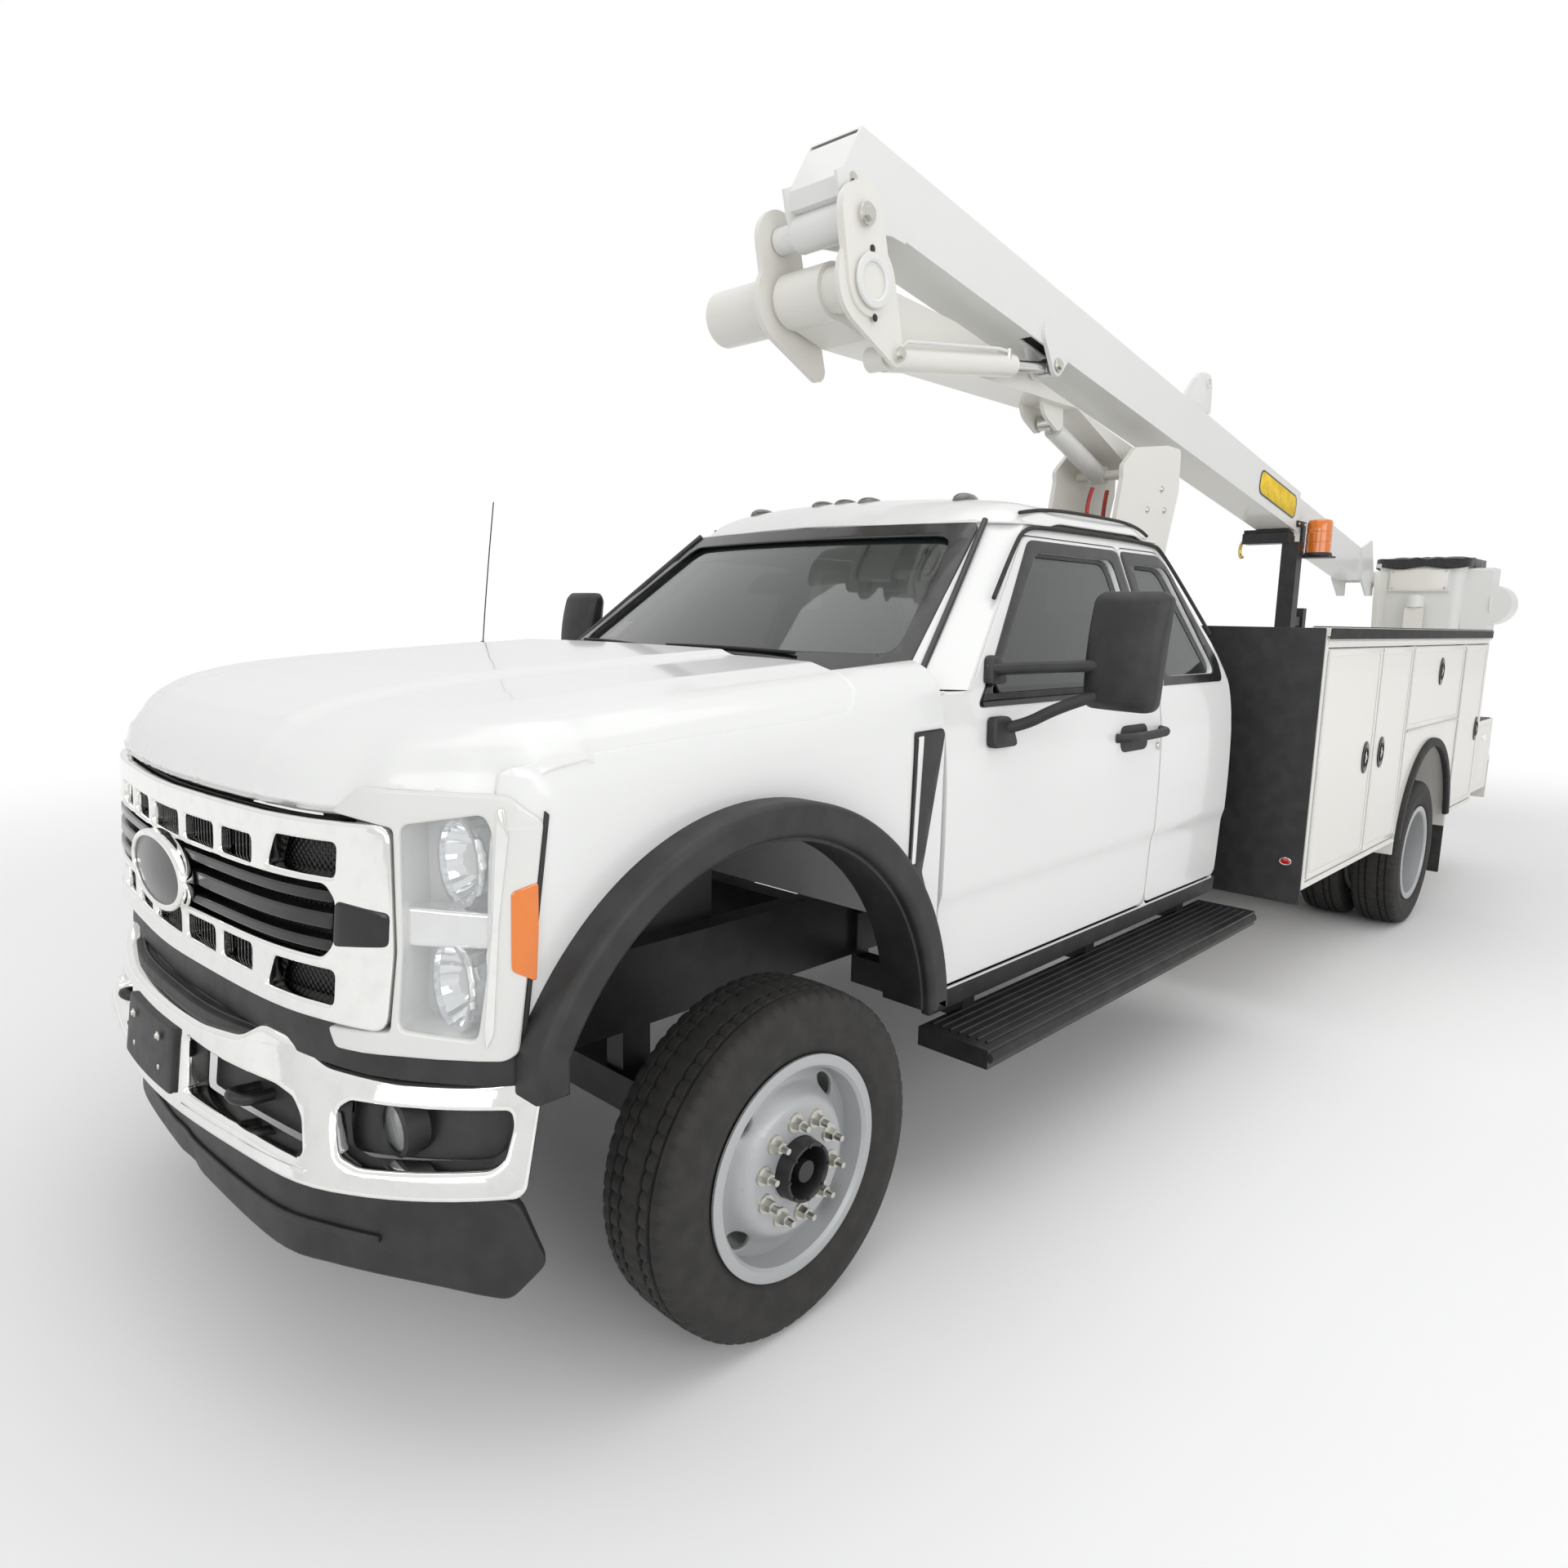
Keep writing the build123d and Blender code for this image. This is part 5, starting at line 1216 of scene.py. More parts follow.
screenOut = rounded([(-0.812, 1.458), (0.812, 1.458), (0.655, 1.938), (-0.655, 1.938)], 0.03)
screenIn = rounded([(-0.735, 1.535), (0.735, 1.535), (0.605, 1.893), (-0.605, 1.893)], 0.05)
plate("screenFrit", [screenOut, screenIn], -0.004, 0.0035, screenWall, "trim", bevel=0.002, step=0.05)
plate("screenTint", [rounded([(-0.62, 1.845), (0.62, 1.845), (0.60, 1.90), (-0.60, 1.90)], 0.01)],
    -0.016, -0.014, screenWall, "glass", bevel=0.0005, step=0.05)
plate("rearViewMirror", [rounded([(-0.12, 1.775), (0.12, 1.775), (0.12, 1.835), (-0.12, 1.835)], 0.02)],
    -0.085, -0.06, screenWall, "black", bevel=0.008, step=0)
plate("registrationTag", [rect(-0.60, -0.52, 1.56, 1.62, 0.004)], -0.017, -0.015, screenWall, "card",
    bevel=0.0005, step=0)
# Sheet lying on the dash, a little curled.
def dashTop(c):
    return np.stack([c[:, 1], c[:, 0], c[:, 2] + 0.01 * np.sin(c[:, 0] * 9)], 1)


plate("dashPaper", [rect(0.20, 0.62, -0.80, -0.68, 0.006)], 1.4485, 1.4515, dashTop, "card",
      bevel=0.0005, step=0.03)


roof = {
    "halfWidth": 0.757,
    "top": 2.046,
    "low": 1.942,
    "edgeFall": 0.10,
    "ribHeight": 0.006,
    "ribPitch": 0.36,
    "sheet": 0.006,
}


# Roof skin: a crown that drops at the edges, with ribs along its middle.
def makeRoof():
    u = np.sin(np.linspace(-1, 1, 81) * np.pi / 2 * 0.94) / np.sin(np.pi / 2 * 0.94)
    y = roof["halfWidth"] * u
    front = np.interp(np.abs(y), [0, 0.3, 0.5, 0.64, 0.70, 0.73, 0.757],
                      [-1.115, -1.135, -1.168, -1.202, -1.235, -1.268, -1.325])
    back = np.interp(np.abs(y), [0, 0.5, 0.68, 0.757], [-2.318, -2.316, -2.30, -2.25])
    v = np.linspace(0, 1, 71)[:, None]
    v = 0.5 - 0.5 * np.cos(np.pi * v)
    x = front + (back - front) * v
    yy = np.broadcast_to(y, x.shape)
    across = np.abs(yy) / roof["halfWidth"]
    wave = np.clip(np.cos(yy * 2 * np.pi / roof["ribPitch"]) * 2.2, -1, 1)
    fromFront = np.clip((front - x - 0.25) / 0.1, 0, 1)
    fromBack = np.clip((x - back - 0.2) / 0.1, 0, 1)
    ribs = roof["ribHeight"] * wave * (across < 0.72) * fromFront * fromBack
    top = roof["top"] - 0.03 * across ** 2 - 0.062 * across ** 14 + ribs * 0.5
    frontFall = np.clip(1 - (front - x) / 0.22, 0, 1) ** 2
    rearFall = np.clip(1 - (x - back) / 0.20, 0, 1) ** 2
    z = top - roof["edgeFall"] * frontFall - roof["edgeFall"] * rearFall
    z = np.maximum(z, roof["low"])
    places = np.stack([x, yy, z], -1)
    gridMesh("roofSkin", places, "white", "chassis", roof["sheet"], smooth=50)


makeRoof()
cabLines = (
    # name, places, radius, finish
    ("roofDitch", [(-1.335, 0.716, 1.975), (-1.45, 0.722, 1.998), (-1.80, 0.722, 2.003),
                   (-2.15, 0.720, 1.998), (-2.26, 0.712, 1.965)], 0.006, "rubber"),
    ("pillarTrim", [(-0.655, 0.842, 1.462), (-0.93, 0.762, 1.70), (-1.215, 0.668, 1.945)], 0.010,
     "trim"),
    ("drip", [(-1.0, 0.852, 1.70), (-1.20, 0.79, 1.868), (-1.30, 0.764, 1.925),
              (-1.45, 0.757, 1.934), (-2.20, 0.757, 1.934), (-2.30, 0.765, 1.905),
              (-2.52, 0.88, 1.60)], 0.007, "rubber"),
)
for side, flipped in bothSides:
    for name, line, radius, finish in cabLines:
        tube(f"{name}_{side}", line, radius, finish, "chassis", (), flipped)

roofLamp = {
    "places": ((-1.330, 0.0), (-1.330, 0.11), (-1.330, -0.11), (-1.380, 0.48), (-1.380, -0.48)),
    "line": [(0.0, 0.030), (0.016, 0.029), (0.030, 0.024), (0.040, 0.014), (0.044, 0.0),
             (0.044, -0.012), (0.0, -0.012)],
    "long": 1.5,
    "wide": 0.75,
    "height": 2.030,
}
for k, (x, y) in enumerate(roofLamp["places"]):
    obj = lathe(f"roofLamp{k}", roofLamp["line"], "z", (0, 0, 0), "smoke", "chassis", (), 40)
    co = np.empty(len(obj.data.vertices) * 3)
    obj.data.vertices.foreach_get("co", co)
    co = co.reshape(-1, 3)
    along = (co[:, 0] - shift) * roofLamp["long"] + x + shift
    up = co[:, 2] + roofLamp["height"] - 0.02 * y * y
    co = np.stack([along, co[:, 1] * roofLamp["wide"] + y, up], 1)
    obj.data.vertices.foreach_set("co", co.ravel())
cowlFront = [(-0.290, y) for y in np.linspace(-0.80, 0.80, 21)]
cowlBack = [(-0.462 - 0.165 * (y / 0.83) ** 2, y) for y in np.linspace(0.80, -0.80, 21)]


# Leaf screen that dips between the hood and the glass.
def cowlTop(c):
    x, y, out = c.T
    reach = np.clip((-0.29 - x) / (0.172 + 0.165 * (y / 0.83) ** 2), 0, 1)
    dip = 0.03 * np.sin(np.pi * reach) * 0.9
    return np.stack([x, y, 1.516 - 0.012 * (y / 0.8) ** 2 - dip - 0.045 * reach ** 2 + out], 1)


plate("cowlScreen", [cowlFront + cowlBack], -0.012, 0.0, cowlTop, "black", bevel=0.002, step=0.03)
louvreRows = (-0.335, -0.36, -0.385, -0.41)
louvreStarts = (-0.74, -0.36, 0.06, 0.44)
louvres = [rect(x, x + 0.010, y, y + 0.30, 0.003) for x in louvreRows for y in louvreStarts]
plate("cowlLouvres", louvres, 0.0, 0.004, cowlTop, "rubber", bevel=0.001, step=0)
for k, (y0, y1) in enumerate(((0.55, -0.06), (-0.12, -0.68))):
    armLine = ((y0, 1.475, 0.022), (y0 * 0.5 + y1 * 0.5, 1.505, 0.030), (y1, 1.512, 0.022))
    ends = screenWall(np.array(armLine))
    tube(f"wiperArm{k}", ends.tolist(), 0.007, "black", "chassis")
    bladeLine = ((y0 - 0.10, 1.522, 0.012), (y0 * 0.4 + y1 * 0.6, 1.532, 0.012),
                 (y1 - 0.02, 1.528, 0.012))
    tube(f"wiperBlade{k}", screenWall(np.array(bladeLine)).tolist(), 0.0055, "rubber", "chassis")
    lathe(f"wiperPivot{k}", [(0, 0), (0.018, 0), (0.016, 0.028), (0, 0.03)], "z",
          (float(ends[0][0]), y0, 1.46), "black", "chassis", (), 24)
tube("aerial", [(-0.34, -0.86, 1.50), (-0.36, -0.865, 1.70), (-0.41, -0.88, 2.02)], 0.0022, "black",
    "chassis")
lathe("aerialFoot", [(0, 0), (0.020, 0), (0.014, 0.02), (0.006, 0.035), (0, 0.036)], "z",
    (-0.34, -0.86, 1.492), "rubber", "chassis", (), 24)
vent = [(-0.470, 1.357), (-0.588, 1.360), (-0.596, 1.345), (-0.518, 0.992), (-0.594, 0.822),
    (-0.560, 0.816), (-0.458, 0.985), (-0.462, 1.02)]
pair("fenderVent", [rounded(vent, 0.008)], -0.002, 0.006, fenderWall, "trim", bevel=0.003, step=0.03)
pair("ventStrip", [rounded([(-0.480, 1.345), (-0.500, 1.348), (-0.482, 1.02), (-0.466, 1.02)], 0.004)],
    0.004, 0.010, fenderWall, "chrome", bevel=0.002, step=0.03)
board = {"rear": -2.60, "front": -0.72, "firstRib": 0.900, "pitch": 0.030, "ribs": 7, "top": 0.496}
for side, flipped in bothSides:
    for k in range(board["ribs"]):
        y = board["firstRib"] + board["pitch"] * k
        ends = [(board["rear"], y, board["top"]), (board["front"], y, board["top"])]
        tube(f"boardRib{k}_{side}", ends, 0.0045, "black", "chassis", (), flipped, False)
    tube(f"boardEdge_{side}", [(-2.63, 1.106, 0.470), (-0.69, 1.106, 0.470)], 0.016, "rubber",
         "chassis", (), flipped, False)
rocker = rounded([(-0.62, 0.560), (-2.58, 0.560), (-2.58, 0.628), (-0.62, 0.628)], 0.012)
pair("rocker", [rocker], -0.03, -0.001, doorWall, "black", bevel=0.006, step=0.05)
print("stage: cab")
# body hardware


bodyWall = sideways(1.200)
latch = {
    "gasket": (0.074, 0.048),
    "dish": (0.046, 0.028),
    "dishInside": (0.038, 0.021),
    "paddle": (0.028, 0.013),
    "turn": math.pi / 2,
    "lock": [(0, 0.0), (0.009, 0.0), (0.009, 0.009), (0.004, 0.0095), (0, 0.0085)],
    "places": (("a", -3.615, 1.05), ("b", -3.867, 1.054), ("c", -4.914, 1.411), ("d", -6.0, 1.03)),
}
for k, x, z in latch["places"]:
    on = (f"body_door_{k}_left", f"body_door_{k}_right")
    gasket, dish, inside, paddle = (oval(x, z, *latch[part], 40, latch["turn"])
        for part in ("gasket", "dish", "dishInside", "paddle"))
    pair(f"latchGasket_{k}", [gasket], -0.001, 0.005, bodyWall, "trim", body=on, bevel=0.0015, step=0)
    pair(f"latchDish_{k}", [dish, inside[::-1]], 0.003, 0.010, bodyWall, "trim", body=on,
         bevel=0.003, step=0)
    pair(f"latchPaddle_{k}", [paddle], 0.001, 0.007, bodyWall, "chrome", body=on, bevel=0.0028, step=0)
    for side, flipped in bothSides:
        lathe(f"latchLock_{k}_{side}", latch["lock"], "y", (x, 1.200, z), "steel",
              f"body_door_{k}_{side}", (), 20, flipped)

# front and rear ends, foot and top of each side door
doorRects = {
    "a": (-3.723, -2.932, 0.587, 1.548),
    "b": (-4.278, -3.737, 0.587, 1.548),
    "c": (-5.443, -4.302, 1.127, 1.548),
    "d": (-6.073, -5.467, 0.587, 1.548),
}
doorHem = {"outer": 0.004, "inner": 0.028, "height": 0.0035}
for k, (x0, x1, z0, z1) in doorRects.items():
    on = (f"body_door_{k}_left", f"body_door_{k}_right")
    a, b = doorHem["outer"], doorHem["inner"]
    outer = rect(x0 + a, x1 - a, z0 + a, z1 - a, 0.018)
    inner = rect(x0 + b, x1 - b, z0 + b, z1 - b, 0.012)
    pair(f"doorHem_{k}", [outer, inner[::-1]], 0.0, doorHem["height"], bodyWall, "body", body=on,
         bevel=0.0015, step=0)
for k, x in (("a", -2.932 + 0.004), ("b", -4.278 - 0.004), ("d", -5.467 + 0.004)):
    for side, flipped in bothSides:
        tube(f"pianoHinge_{k}_{side}", [(x, 1.2035, 0.60), (x, 1.2035, 1.535)], 0.0045, "steel",
             "chassis", (), flipped, False)
for side, flipped in bothSides:
    tube(f"dropHinge_{side}", [(-5.44, 1.2035, 1.1235), (-4.305, 1.2035, 1.1235)], 0.0045, "steel",
         "chassis", (), flipped, False)

railSide = sideways(1.212)
frontEnd = endways(-2.889)
rearEnd = endways(-6.110, -1)
boxSide = sideways(1.190)
markerIn = oval(1.130, 0.667, 0.020, 0.012)
bodyTrim = (
    # name, outlines, from, to, wall, finish, bevel
    ("railTrim", [rect(-6.10, -2.895, 1.588, 1.632, 0.006)], -0.003, 0.005, railSide, "rubber", 0.002),
    ("railTop", [rect(-6.10, -2.895, 1.143, 1.214, 0.006)], 0.0, 0.004, level(1.635), "rubber", 0.002),
    ("dripStrip", [rect(-6.08, -2.92, 1.568, 1.580, 0.003)], 0.0, 0.006, bodyWall, "chrome", 0.002),
    ("sideMarker", [markerIn], 0.005, 0.011, frontEnd, "redLens", 0.0025),
    ("markerRim", [oval(1.130, 0.667, 0.025, 0.017), markerIn[::-1]], 0.004, 0.009, frontEnd,
     "chrome", 0.002),
    ("bulkhead", [rect(0.505, 1.197, 0.490, 1.632, 0.006)], 0.0, 0.005, frontEnd, "black", 0.002),
    ("tailLamp", [rect(1.012, 1.108, 1.180, 1.328, 0.016)], 0.0, 0.020, rearEnd, "redLens", 0.006),
    ("reverseLamp", [rect(1.012, 1.108, 1.132, 1.176, 0.010)], 0.0, 0.018, rearEnd, "lampWhite",
     0.005),
    ("tailLampRim", [rect(1.004, 1.116, 1.124, 1.336, 0.020),
                     rect(1.012, 1.108, 1.132, 1.328, 0.014)[::-1]], 0.0, 0.012, rearEnd, "rubber",
     0.003),
    ("tailBoxTop", [rect(-6.59, -6.12, 0.91, 1.18, 0.015)], 0.0, 0.004, level(1.060), "black", 0.002),
    ("tailBoxDoor", [rect(-6.58, -6.13, 0.63, 1.03, 0.02)], 0.0, 0.004, boxSide, "body", 0.002),
    ("tailBoxLatch", [oval(-6.35, 0.95, 0.045, 0.028)], 0.003, 0.009, boxSide, "chrome", 0.003),
)
for name, loops, low, high, wall, finish, bevel in bodyTrim:
    pair(name, loops, low, high, wall, finish, bevel=bevel, step=0)
lathe("blueCap", [(0, 0), (0.030, 0), (0.034, 0.006), (0.034, 0.040), (0.028, 0.052), (0, 0.054)], "x",
    (-2.885, 0.640, 1.03), "blue", "chassis", (), 40)
print("stage: body")


# boom hardware: X and Z of the pins, and the boom's slope
pins = {
    "elbow": (-1.181, 2.942),
    "arm": (-1.396, 2.547),
    "hub": (-1.227, 2.748),
    "lug": (-2.531, 2.718),
    "stay": (-4.156, 2.927),
}
slope = math.radians(9.15)
alongBoom = np.array([-math.cos(slope), -math.sin(slope)])
acrossBoom = np.array([-math.sin(slope), math.cos(slope)])


# X and Z at a run from the elbow and a rise over the boom's pin line.
def onBoom(run, rise):
    return tuple(np.array(pins["elbow"]) + run * alongBoom + rise * acrossBoom)


# A place on a pin, at a half width.
def atPin(name, y):
    x, z = pins[name]
    return x, y, z


boomSide = sideways(0.115)
bolts("boomEndBolt", [(-1.17, 0.123, 3.063)], "y", 0.014, 0.010, "zinc", "upper_boom")
bolts("elbowPinBolt", [atPin("elbow", 0.1830)], "y", 0.026, 0.018, "zinc", "elbow_knuckle")
bolts("armPinBolts", [atPin("arm", 0.1710)], "y", 0.018, 0.014, "zinc", "elbow_knuckle")
# painted shade: flat black discs on the knuckle plate stand in for its two holes
for k, (x, z) in enumerate(((-1.23, 2.851), (-1.254, 2.638))):
    plate(f"knuckleHole{k}", [oval(x, z, 0.013, 0.013, 24)], 0.0, 0.002, sideways(0.1652), "trim",
          "elbow_knuckle", 0.0008, 0)
hubLine = [(0.058, 0.0), (0.086, 0.0), (0.088, 0.004), (0.084, 0.010), (0.066, 0.012), (0.058, 0.008)]
lathe("hubRing", hubLine, "y", atPin("hub", 0.1751), "boom", "elbow_knuckle", (), 64)
bolts("lugPinBolt", [atPin("lug", 0.1381)], "y", 0.020, 0.014, "zinc", "upper_boom")
ear = rounded([(-3.93, 2.800), (-4.02, 2.952), (-4.10, 2.968), (-4.18, 2.968), (-4.208, 2.930),
    (-4.215, 2.762)], 0.035, 8)
earHole = oval(*pins["stay"], 0.016, 0.016, 24)[::-1]
plate("stayEar", [ear, earHole], 0.0945, 0.1136, sideways(0.0), "boom", "upper_boom", 0.002, 0)
earLine = [(0.017, 0), (0.030, 0), (0.030, 0.005), (0.018, 0.006)]
lathe("earRing", earLine, "y", atPin("stay", 0.1136), "boom", "upper_boom", (), 32)
pipe = [(-1.47, 0.106, 2.590), (-1.50, 0.116, 2.618), (-2.10, 0.116, 2.708), (-2.18, 0.110, 2.712)]
tube("tiltPipe", pipe, 0.0065, "boom", "tilt_barrel", order=2)
glandLine = [(0, -0.02), (0.012, -0.02), (0.012, 0.02), (0, 0.02)]
lathe("tiltGland", glandLine, "z", (-2.18, 0.108, 2.702), "zinc", "tilt_barrel", (), 24)
for k, x in enumerate((-3.10, -3.25, -3.40)):
    hose = [(x, 0.02, 1.84), (x - 0.03, 0.05 - 0.03 * k, 2.00), (x + 0.02, 0.00 + 0.02 * k, 2.16),
        (x - 0.04, 0.01, 2.28)]
    tube(f"turretHose{k}", hose, 0.010, "redHose", "turret")
turretHeads = [(x, 0.1471, z) for x, z in ((-3.602, 2.311), (-3.455, 2.197), (-3.648, 2.211))]
bolts("turretBolts", turretHeads, "y", 0.013, 0.010, "zinc", "turret")

# plain yellow plaque: its ends along the boom and its rise over the pin line
plaque = {"face": (3.87, 4.53, 0.115, 0.245), "edge": (3.860, 4.540, 0.105, 0.255)}


# Rounded rectangle laid along the boom.
def boomRect(r0, r1, low, high, radius):
    corners = ((r0, low), (r1, low), (r1, high), (r0, high))
    return rounded([onBoom(run, rise) for run, rise in corners], radius, 10)


plaqueFace = boomRect(*plaque["face"], 0.055)
plaqueBorder = boomRect(*plaque["edge"], 0.062)
plate("plaque", [plaqueFace], 0.0005, 0.003, boomSide, "yellow", "upper_boom", 0.0008, 0)
plate("plaqueEdge", [plaqueBorder, plaqueFace[::-1]], 0.0005, 0.0035, boomSide, "trim", "upper_boom",
      0.0008, 0)
print("stage: boom")


# beacon on its bracket: radius and height of its base and lens
beacon = {
    "x": -5.86,
    "y": 0.225,
    "baseHeight": 2.100,
    "lensHeight": 2.1205,
    "base": [(0, 0), (0.086, 0), (0.086, 0.010), (0.080, 0.020), (0.078, 0.020), (0, 0.020)],
    "lens": [(0, 0), (0.0770, 0), (0.0770, 0.055), (0.0745, 0.058), (0.0745, 0.066),
             (0.0770, 0.069), (0.0770, 0.124), (0.0745, 0.127), (0.0745, 0.135), (0.0765, 0.138),
             (0.0760, 0.190), (0.0700, 0.207), (0.0540, 0.215), (0, 0.217)],
    "arm": [(-5.90, 2.088), (-5.82, 2.088), (-5.82, 2.285), (-5.73, 2.285), (-5.73, 2.325),
            (-5.90, 2.325)],
    "heads": [(-5.76, 0.1260, 2.305), (-5.87, 0.1260, 2.305), (-5.87, 0.1260, 2.14)],
}
lathe("beaconBase", beacon["base"], "z", (beacon["x"], beacon["y"], beacon["baseHeight"]), "black",
      "upper_boom", ("beacon",), 64)
lathe("beaconLens", beacon["lens"], "z", (beacon["x"], beacon["y"], beacon["lensHeight"]), "amber",
      "upper_boom", (), 64)
plate("beaconPlate", [rect(-5.95, -5.79, 0.118, 0.315, 0.012)], 0.0, 0.0115, level(2.088), "black",
      "upper_boom", 0.002, 0)
plate("beaconArm", [rounded(beacon["arm"], 0.006)], 0.0, 0.0105, sideways(0.1155), "black",
      "upper_boom", 0.002, 0)
bolts("beaconBolts", beacon["heads"], "y", 0.007, 0.006, "zinc", "upper_boom")


# boom rest; the saddle follows the underside of the boom
def boomFloor(x):
    elbowX, elbowZ = pins["elbow"]
    return elbowZ + 0.050 / math.cos(slope) - (elbowX - x) * math.tan(slope)


saddle = {"rear": -5.757, "front": -5.643, "top": 0.007, "foot": 0.0285, "right": -0.185, "left": 0.100}
padTop = [(x, boomFloor(x) - saddle["top"]) for x in (saddle["rear"], saddle["front"])]
padLow = [(x, boomFloor(x) - saddle["foot"]) for x in (saddle["front"], saddle["rear"])]
plate("saddlePad", [rounded(padTop + padLow, 0.004)], saddle["right"], saddle["left"], sideways(0.0),
      "rubber", "chassis", 0.004, 0)
restHeads = [(x, y, 0.952) for x in (-5.775, -5.625) for y in (0.085, 0.145)]
bolts("restBolts", restHeads, "z", 0.010, 0.010, "zinc", "chassis")
restHook = [
    (-5.70, -0.195, 2.205), (-5.70, -0.215, 2.190), (-5.705, -0.225, 2.130), (-5.70, -0.212, 2.085),
    (-5.70, -0.196, 2.100),
]
tube("restHook", restHook, 0.011, "brass", "chassis")
print("stage: rest")


# bucket: cover box, the round case beside it, and the vinyl cover
roundCase = {"x": -8.068, "z": 1.83, "face": 0.860, "headRadius": 0.125, "heads": 8}
plate("coverBox", [rect(0.183, 0.582, 1.938, 2.102, 0.02)], 0.0005, 0.004, endways(-7.847), "body",
      "bucket", 0.0015, 0)
coverHeads = [(-7.843, y, z) for y in (0.20, 0.565) for z in (1.955, 2.085)]
bolts("coverBolts", coverHeads, "x", 0.007, 0.006, "zinc", "bucket")
caseLine = [(0, 0), (0.150, 0), (0.150, 0.006), (0.143, 0.012), (0.05, 0.014), (0, 0.014)]
lathe("caseDisc", caseLine, "y", (roundCase["x"], roundCase["face"], roundCase["z"]), "body",
      "bucket", (), 72)
lathe("caseCap", [(0, 0), (0.024, 0), (0.022, 0.016), (0, 0.018)], "y",
      (roundCase["x"], 0.874, roundCase["z"]), "blue", "bucket", (), 28)
caseHeads = circle((roundCase["x"], 0.870, roundCase["z"]), roundCase["headRadius"], roundCase["heads"])
bolts("caseBolts", caseHeads, "y", 0.008, 0.006, "zinc", "bucket")
coverShape = {
    "center": (-8.17, 0.385),
    "half": 0.341,
    "top": 2.200,
    "drop": 0.072,
    "power": 6.0,
    "inner": 0.84,  # share of the sheet that lies flat
    "rows": 64,
    "thick": 0.0025,
}


# Rumpled vinyl cover whose edge droops outside the bucket's lip.
def makeCover():
    line = np.linspace(-1, 1, coverShape["rows"])
    u, v = np.meshgrid(line, line)
    power, half, inner = coverShape["power"], coverShape["half"], coverShape["inner"]
    reach = np.maximum(np.abs(u), np.abs(v)) + 1e-9
    length = (np.abs(u) ** power + np.abs(v) ** power) ** (1 / power) + 1e-9
    spread = np.minimum(reach / inner, 1) / length
    x, y = u * spread, v * spread
    turn = np.arctan2(y, x)
    fall = np.clip((reach - inner) / (1 - inner), 0, 1)
    longCrease = 0.0035 * np.sin(9 * x + 4 * y + 2 * np.sin(5 * y))
    shortCrease = 0.0025 * np.sin(17 * y - 8 * x + 3 * np.sin(4 * x))
    crease = longCrease + shortCrease
    fold = 0.0040 * np.sin(turn * 19 + 2 * np.sin(turn * 5)) * fall
    hem = 0.010 * np.sin(turn * 7 + 1.0) * fall
    sag = 0.016 * np.minimum(reach / inner, 1) ** 4
    z = coverShape["top"] - sag + crease * (1 - fall) - fall * coverShape["drop"] + hem
    cx, cy = coverShape["center"]
    place = np.stack([cx + (half + fold) * x, cy + (half + fold) * y, z], -1)
    return gridMesh("bucketCover", place, "vinyl", "bucket", coverShape["thick"], ("bucket_cover",),
        smooth=60)


cover = makeCover()
print("stage: bucket")


# seats and dash
# Crowned cushion with rounded corners: a cube's six faces blown out, with sewn channels across it.
def cushion(name, center, half, tilt=0.0, seams=(), cross=(), fill=0.75):
    n = 26
    line = np.linspace(-1, 1, n)
    a, b = np.meshgrid(line, line)
    one = np.ones_like(a)
    places, faces = [], []
    i, j = np.meshgrid(np.arange(n - 1), np.arange(n - 1), indexing="ij")
    cube = ((a, b, one), (b, a, -one), (one, a, b), (-one, b, a), (b, one, a), (a, -one, b))
    for k, face in enumerate(cube):
        places.append(np.stack(face, -1).reshape(-1, 3))
        at = k * n * n + i * n + j
        faces.append(np.stack([at, at + 1, at + n + 1, at + n], -1).reshape(-1, 4))
    p = np.vstack(places)
    size = (np.abs(p) ** 7).sum(1) ** (1 / 7)
    p = p / size[:, None]
    crown = 1 - 0.10 * (p[:, 0] ** 2 + p[:, 1] ** 2) / 2
    dip = np.zeros(len(p))
    for s in seams:
        dip += np.exp(-((p[:, 1] - s) / 0.025) ** 2)
    for s in cross:
        dip += np.exp(-((p[:, 0] - s) / 0.025) ** 2)
    p[:, 2] = np.where(p[:, 2] > 0.2, p[:, 2] * crown - 0.10 * dip, p[:, 2])
    p = p * np.array(half)
    c, s = math.cos(tilt), math.sin(tilt)
    x = p[:, 0] * c + p[:, 2] * s
    z = -p[:, 0] * s + p[:, 2] * c
    p = np.stack([x, p[:, 1], z], 1) + np.array(center)
    mesh = bpy.data.meshes.new(name)
    mesh.from_pydata(p.tolist(), [], np.vstack(faces).tolist())
    toWorld(mesh, lambda c: c)
    obj = addObject(name, mesh, "seat", "chassis", (), 70)


seat = {
    "places": (("left", 0.42), ("right", -0.42)),
    "cushion": ((-1.486, 1.070), (0.260, 0.238, 0.068)),
    "back": ((-1.752, 1.385), (0.285, 0.234, 0.055)),
    "headrest": ((-1.825, 1.742), (0.085, 0.115, 0.045)),
    "lean": -math.pi / 2 - 0.14 + math.pi,
    "sideSeams": (-0.62, 0.62),
    "benchSeams": (-0.33, 0.33),
    "floor": 0.855,
}


# One padded piece of a front seat, whose X and Z and half sizes are in the dictionary.
def seatPad(name, part, y, *shape):
    (x, z), half = seat[part]
    cushion(name, (x, y, z), half, *shape)


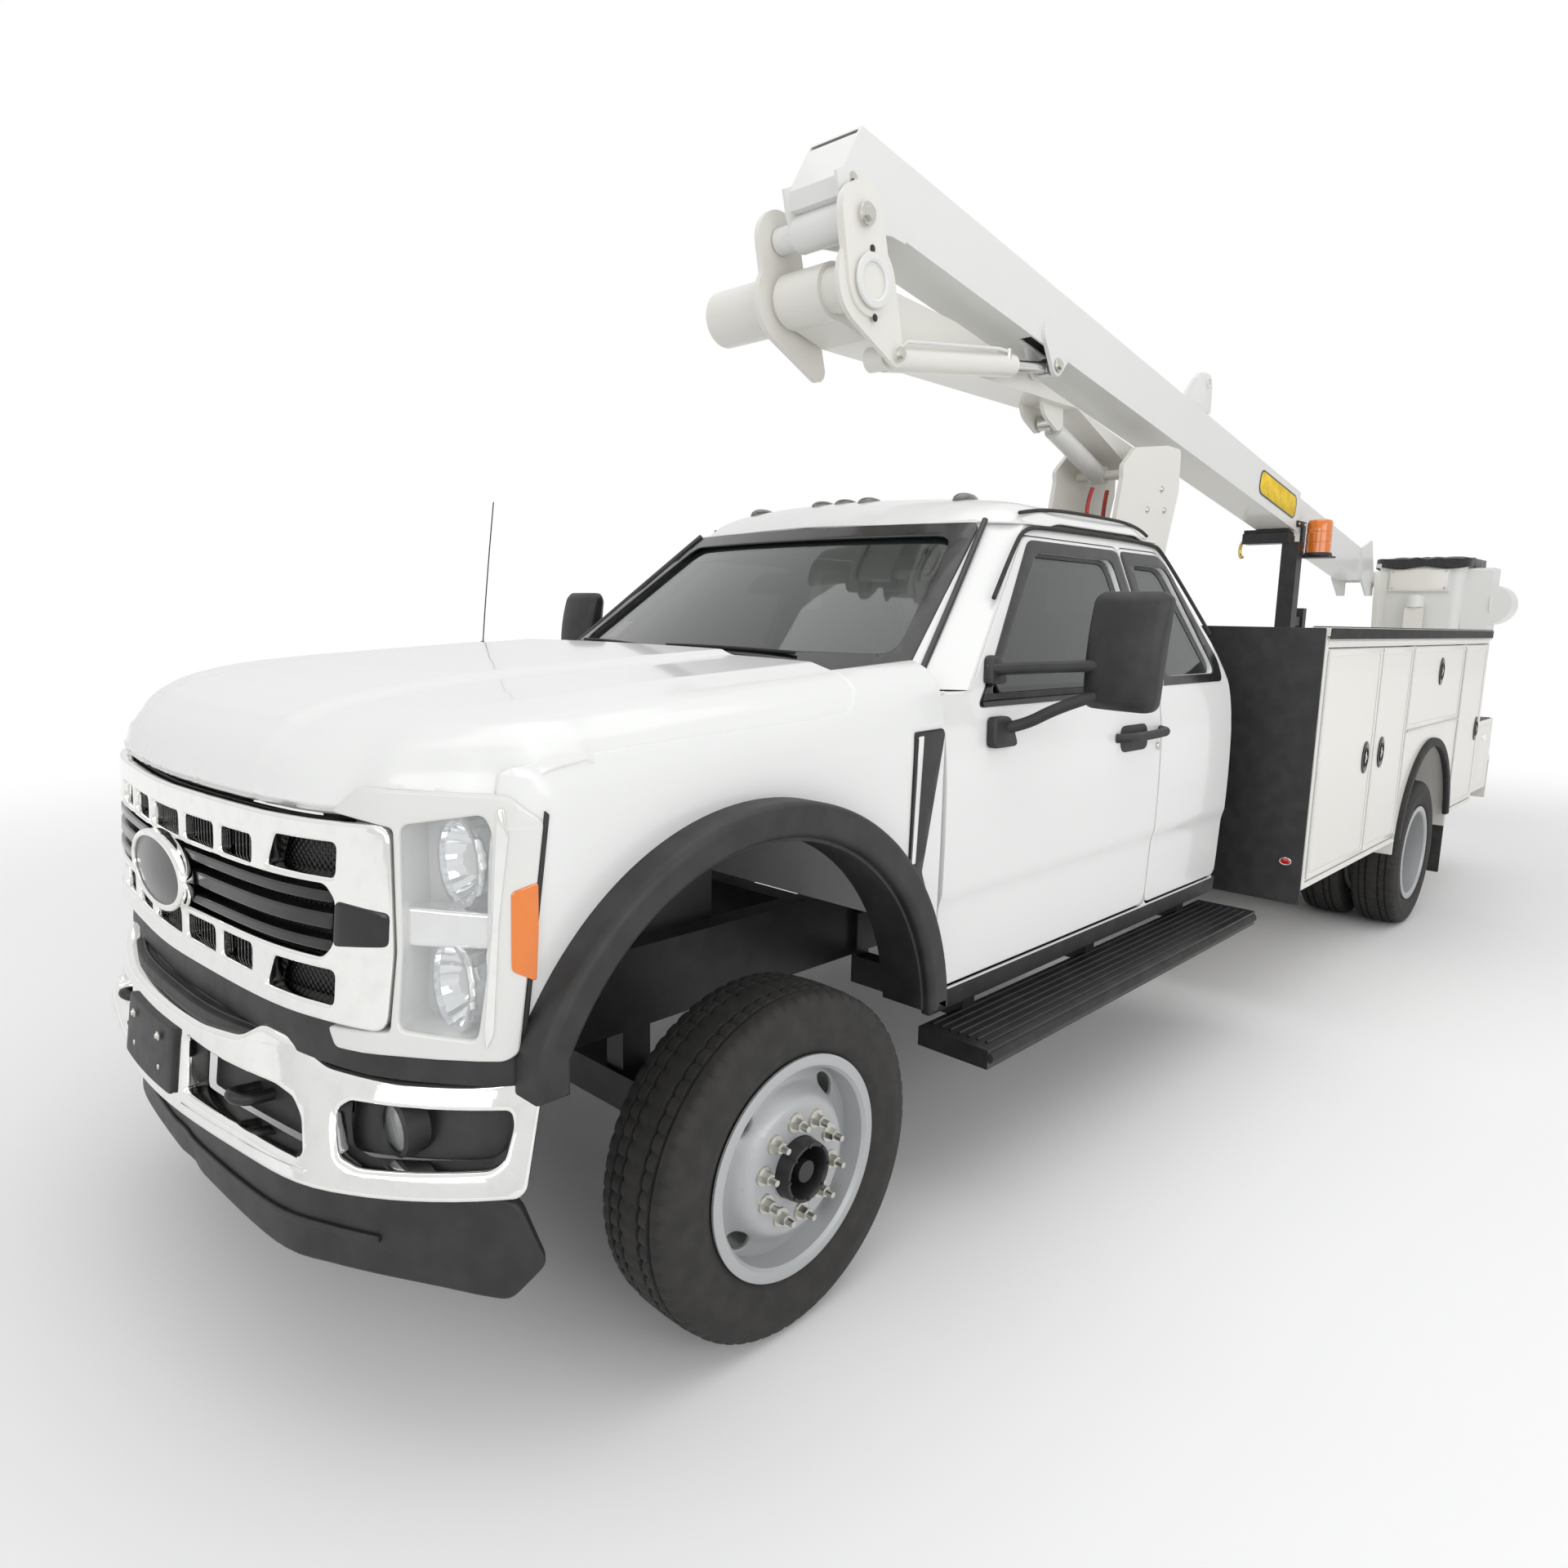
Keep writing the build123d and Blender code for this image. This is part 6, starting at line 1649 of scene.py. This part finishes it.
for side, y in seat["places"]:
    seatPad(f"seatCushion_{side}", "cushion", y, 0.0, seat["sideSeams"], (0.0,))
    seatPad(f"seatBack_{side}", "back", y, seat["lean"], seat["sideSeams"], (-0.2,))
    seatPad(f"headrest_{side}", "headrest", y, math.pi / 2, ())
    foot = rect(-1.67, -1.31, y - 0.19, y + 0.19, 0.02)
    plate(f"seatFoot_{side}", [foot], 0.0, 0.145, level(seat["floor"]), "black", "chassis", 0.006, 0)
    for k, dy in enumerate((-0.05, 0.05)):
        tube(f"headrestPost{k}_{side}", [(-1.80, y + dy, 1.62), (-1.82, y + dy, 1.70)], 0.007, "steel",
             "chassis", (), False, False)
cushion("rearSeat", (-2.262, 0, 1.010), (0.178, 0.690, 0.085), 0.0, seat["benchSeams"])
cushion("rearBack", (-2.388, 0, 1.300), (0.190, 0.690, 0.055), math.pi / 2, seat["benchSeams"])
plate("rearSeatFoot", [rect(-2.44, -2.10, -0.68, 0.68, 0.02)], 0.0, 0.080, level(seat["floor"]),
      "black", "chassis", 0.006, 0)
dash = rounded([(-0.672, 1.04), (-0.672, 1.425), (-0.76, 1.435), (-0.955, 1.338), (-0.925, 1.085)],
    0.03, 6)
plate("dash", [dash], -0.84, 0.84, sideways(0.0), "black", "chassis", 0.012, 0, ("cab_interior",))
plate("dashHood", [rounded([(-0.78, 1.385), (-0.80, 1.440), (-0.87, 1.425), (-0.955, 1.36),
    (-0.94, 1.335)], 0.012)], -0.19, 0.19, sideways(0.42), "black", "chassis", 0.010, 0)
plate("dashScreen", [rect(-0.15, 0.15, 1.17, 1.30, 0.01)], 0.0, 0.006, endways(-0.952, -1), "trim",
    "chassis", 0.002, 0)
for k, y in enumerate((-0.72, -0.26, 0.18, 0.70)):
    plate(f"dashVent{k}", [rect(y - 0.06, y + 0.06, 1.235, 1.300, 0.012)], 0.0, 0.006,
          endways(-0.948, -1), "trim", "chassis", 0.002, 0)

steering = {
    "center": np.array([-1.09, 0.42, 1.385]),
    "across": np.array([0, 1, 0]),
    "up": np.array([0.41, 0, 0.912]),
    "rimRadius": 0.175,
    "rimThick": 0.0145,
    "spokes": (0.0, math.pi, -math.pi / 2),
    "spokeRadius": 0.170,
}


# Place at a turn round the raked steering wheel.
def onRim(radius, t):
    turned = math.cos(t) * steering["across"] + math.sin(t) * steering["up"]
    return tuple(steering["center"] + radius * turned)


tube("column", [(-0.90, 0.42, 1.30), (-1.075, 0.42, 1.378)], 0.027, "black", "chassis", (), False,
     False)
rim = [onRim(steering["rimRadius"], t) for t in np.linspace(0, 2 * math.pi, 49)]
tube("steeringRim", rim, steering["rimThick"], "black", "chassis", (), False, False)
for k, t in enumerate(steering["spokes"]):
    spoke = [(-1.085, 0.42, 1.382), onRim(steering["spokeRadius"], t)]
    tube(f"steeringSpoke{k}", spoke, 0.012, "black", "chassis", (), False, False)
print("stage: interior")
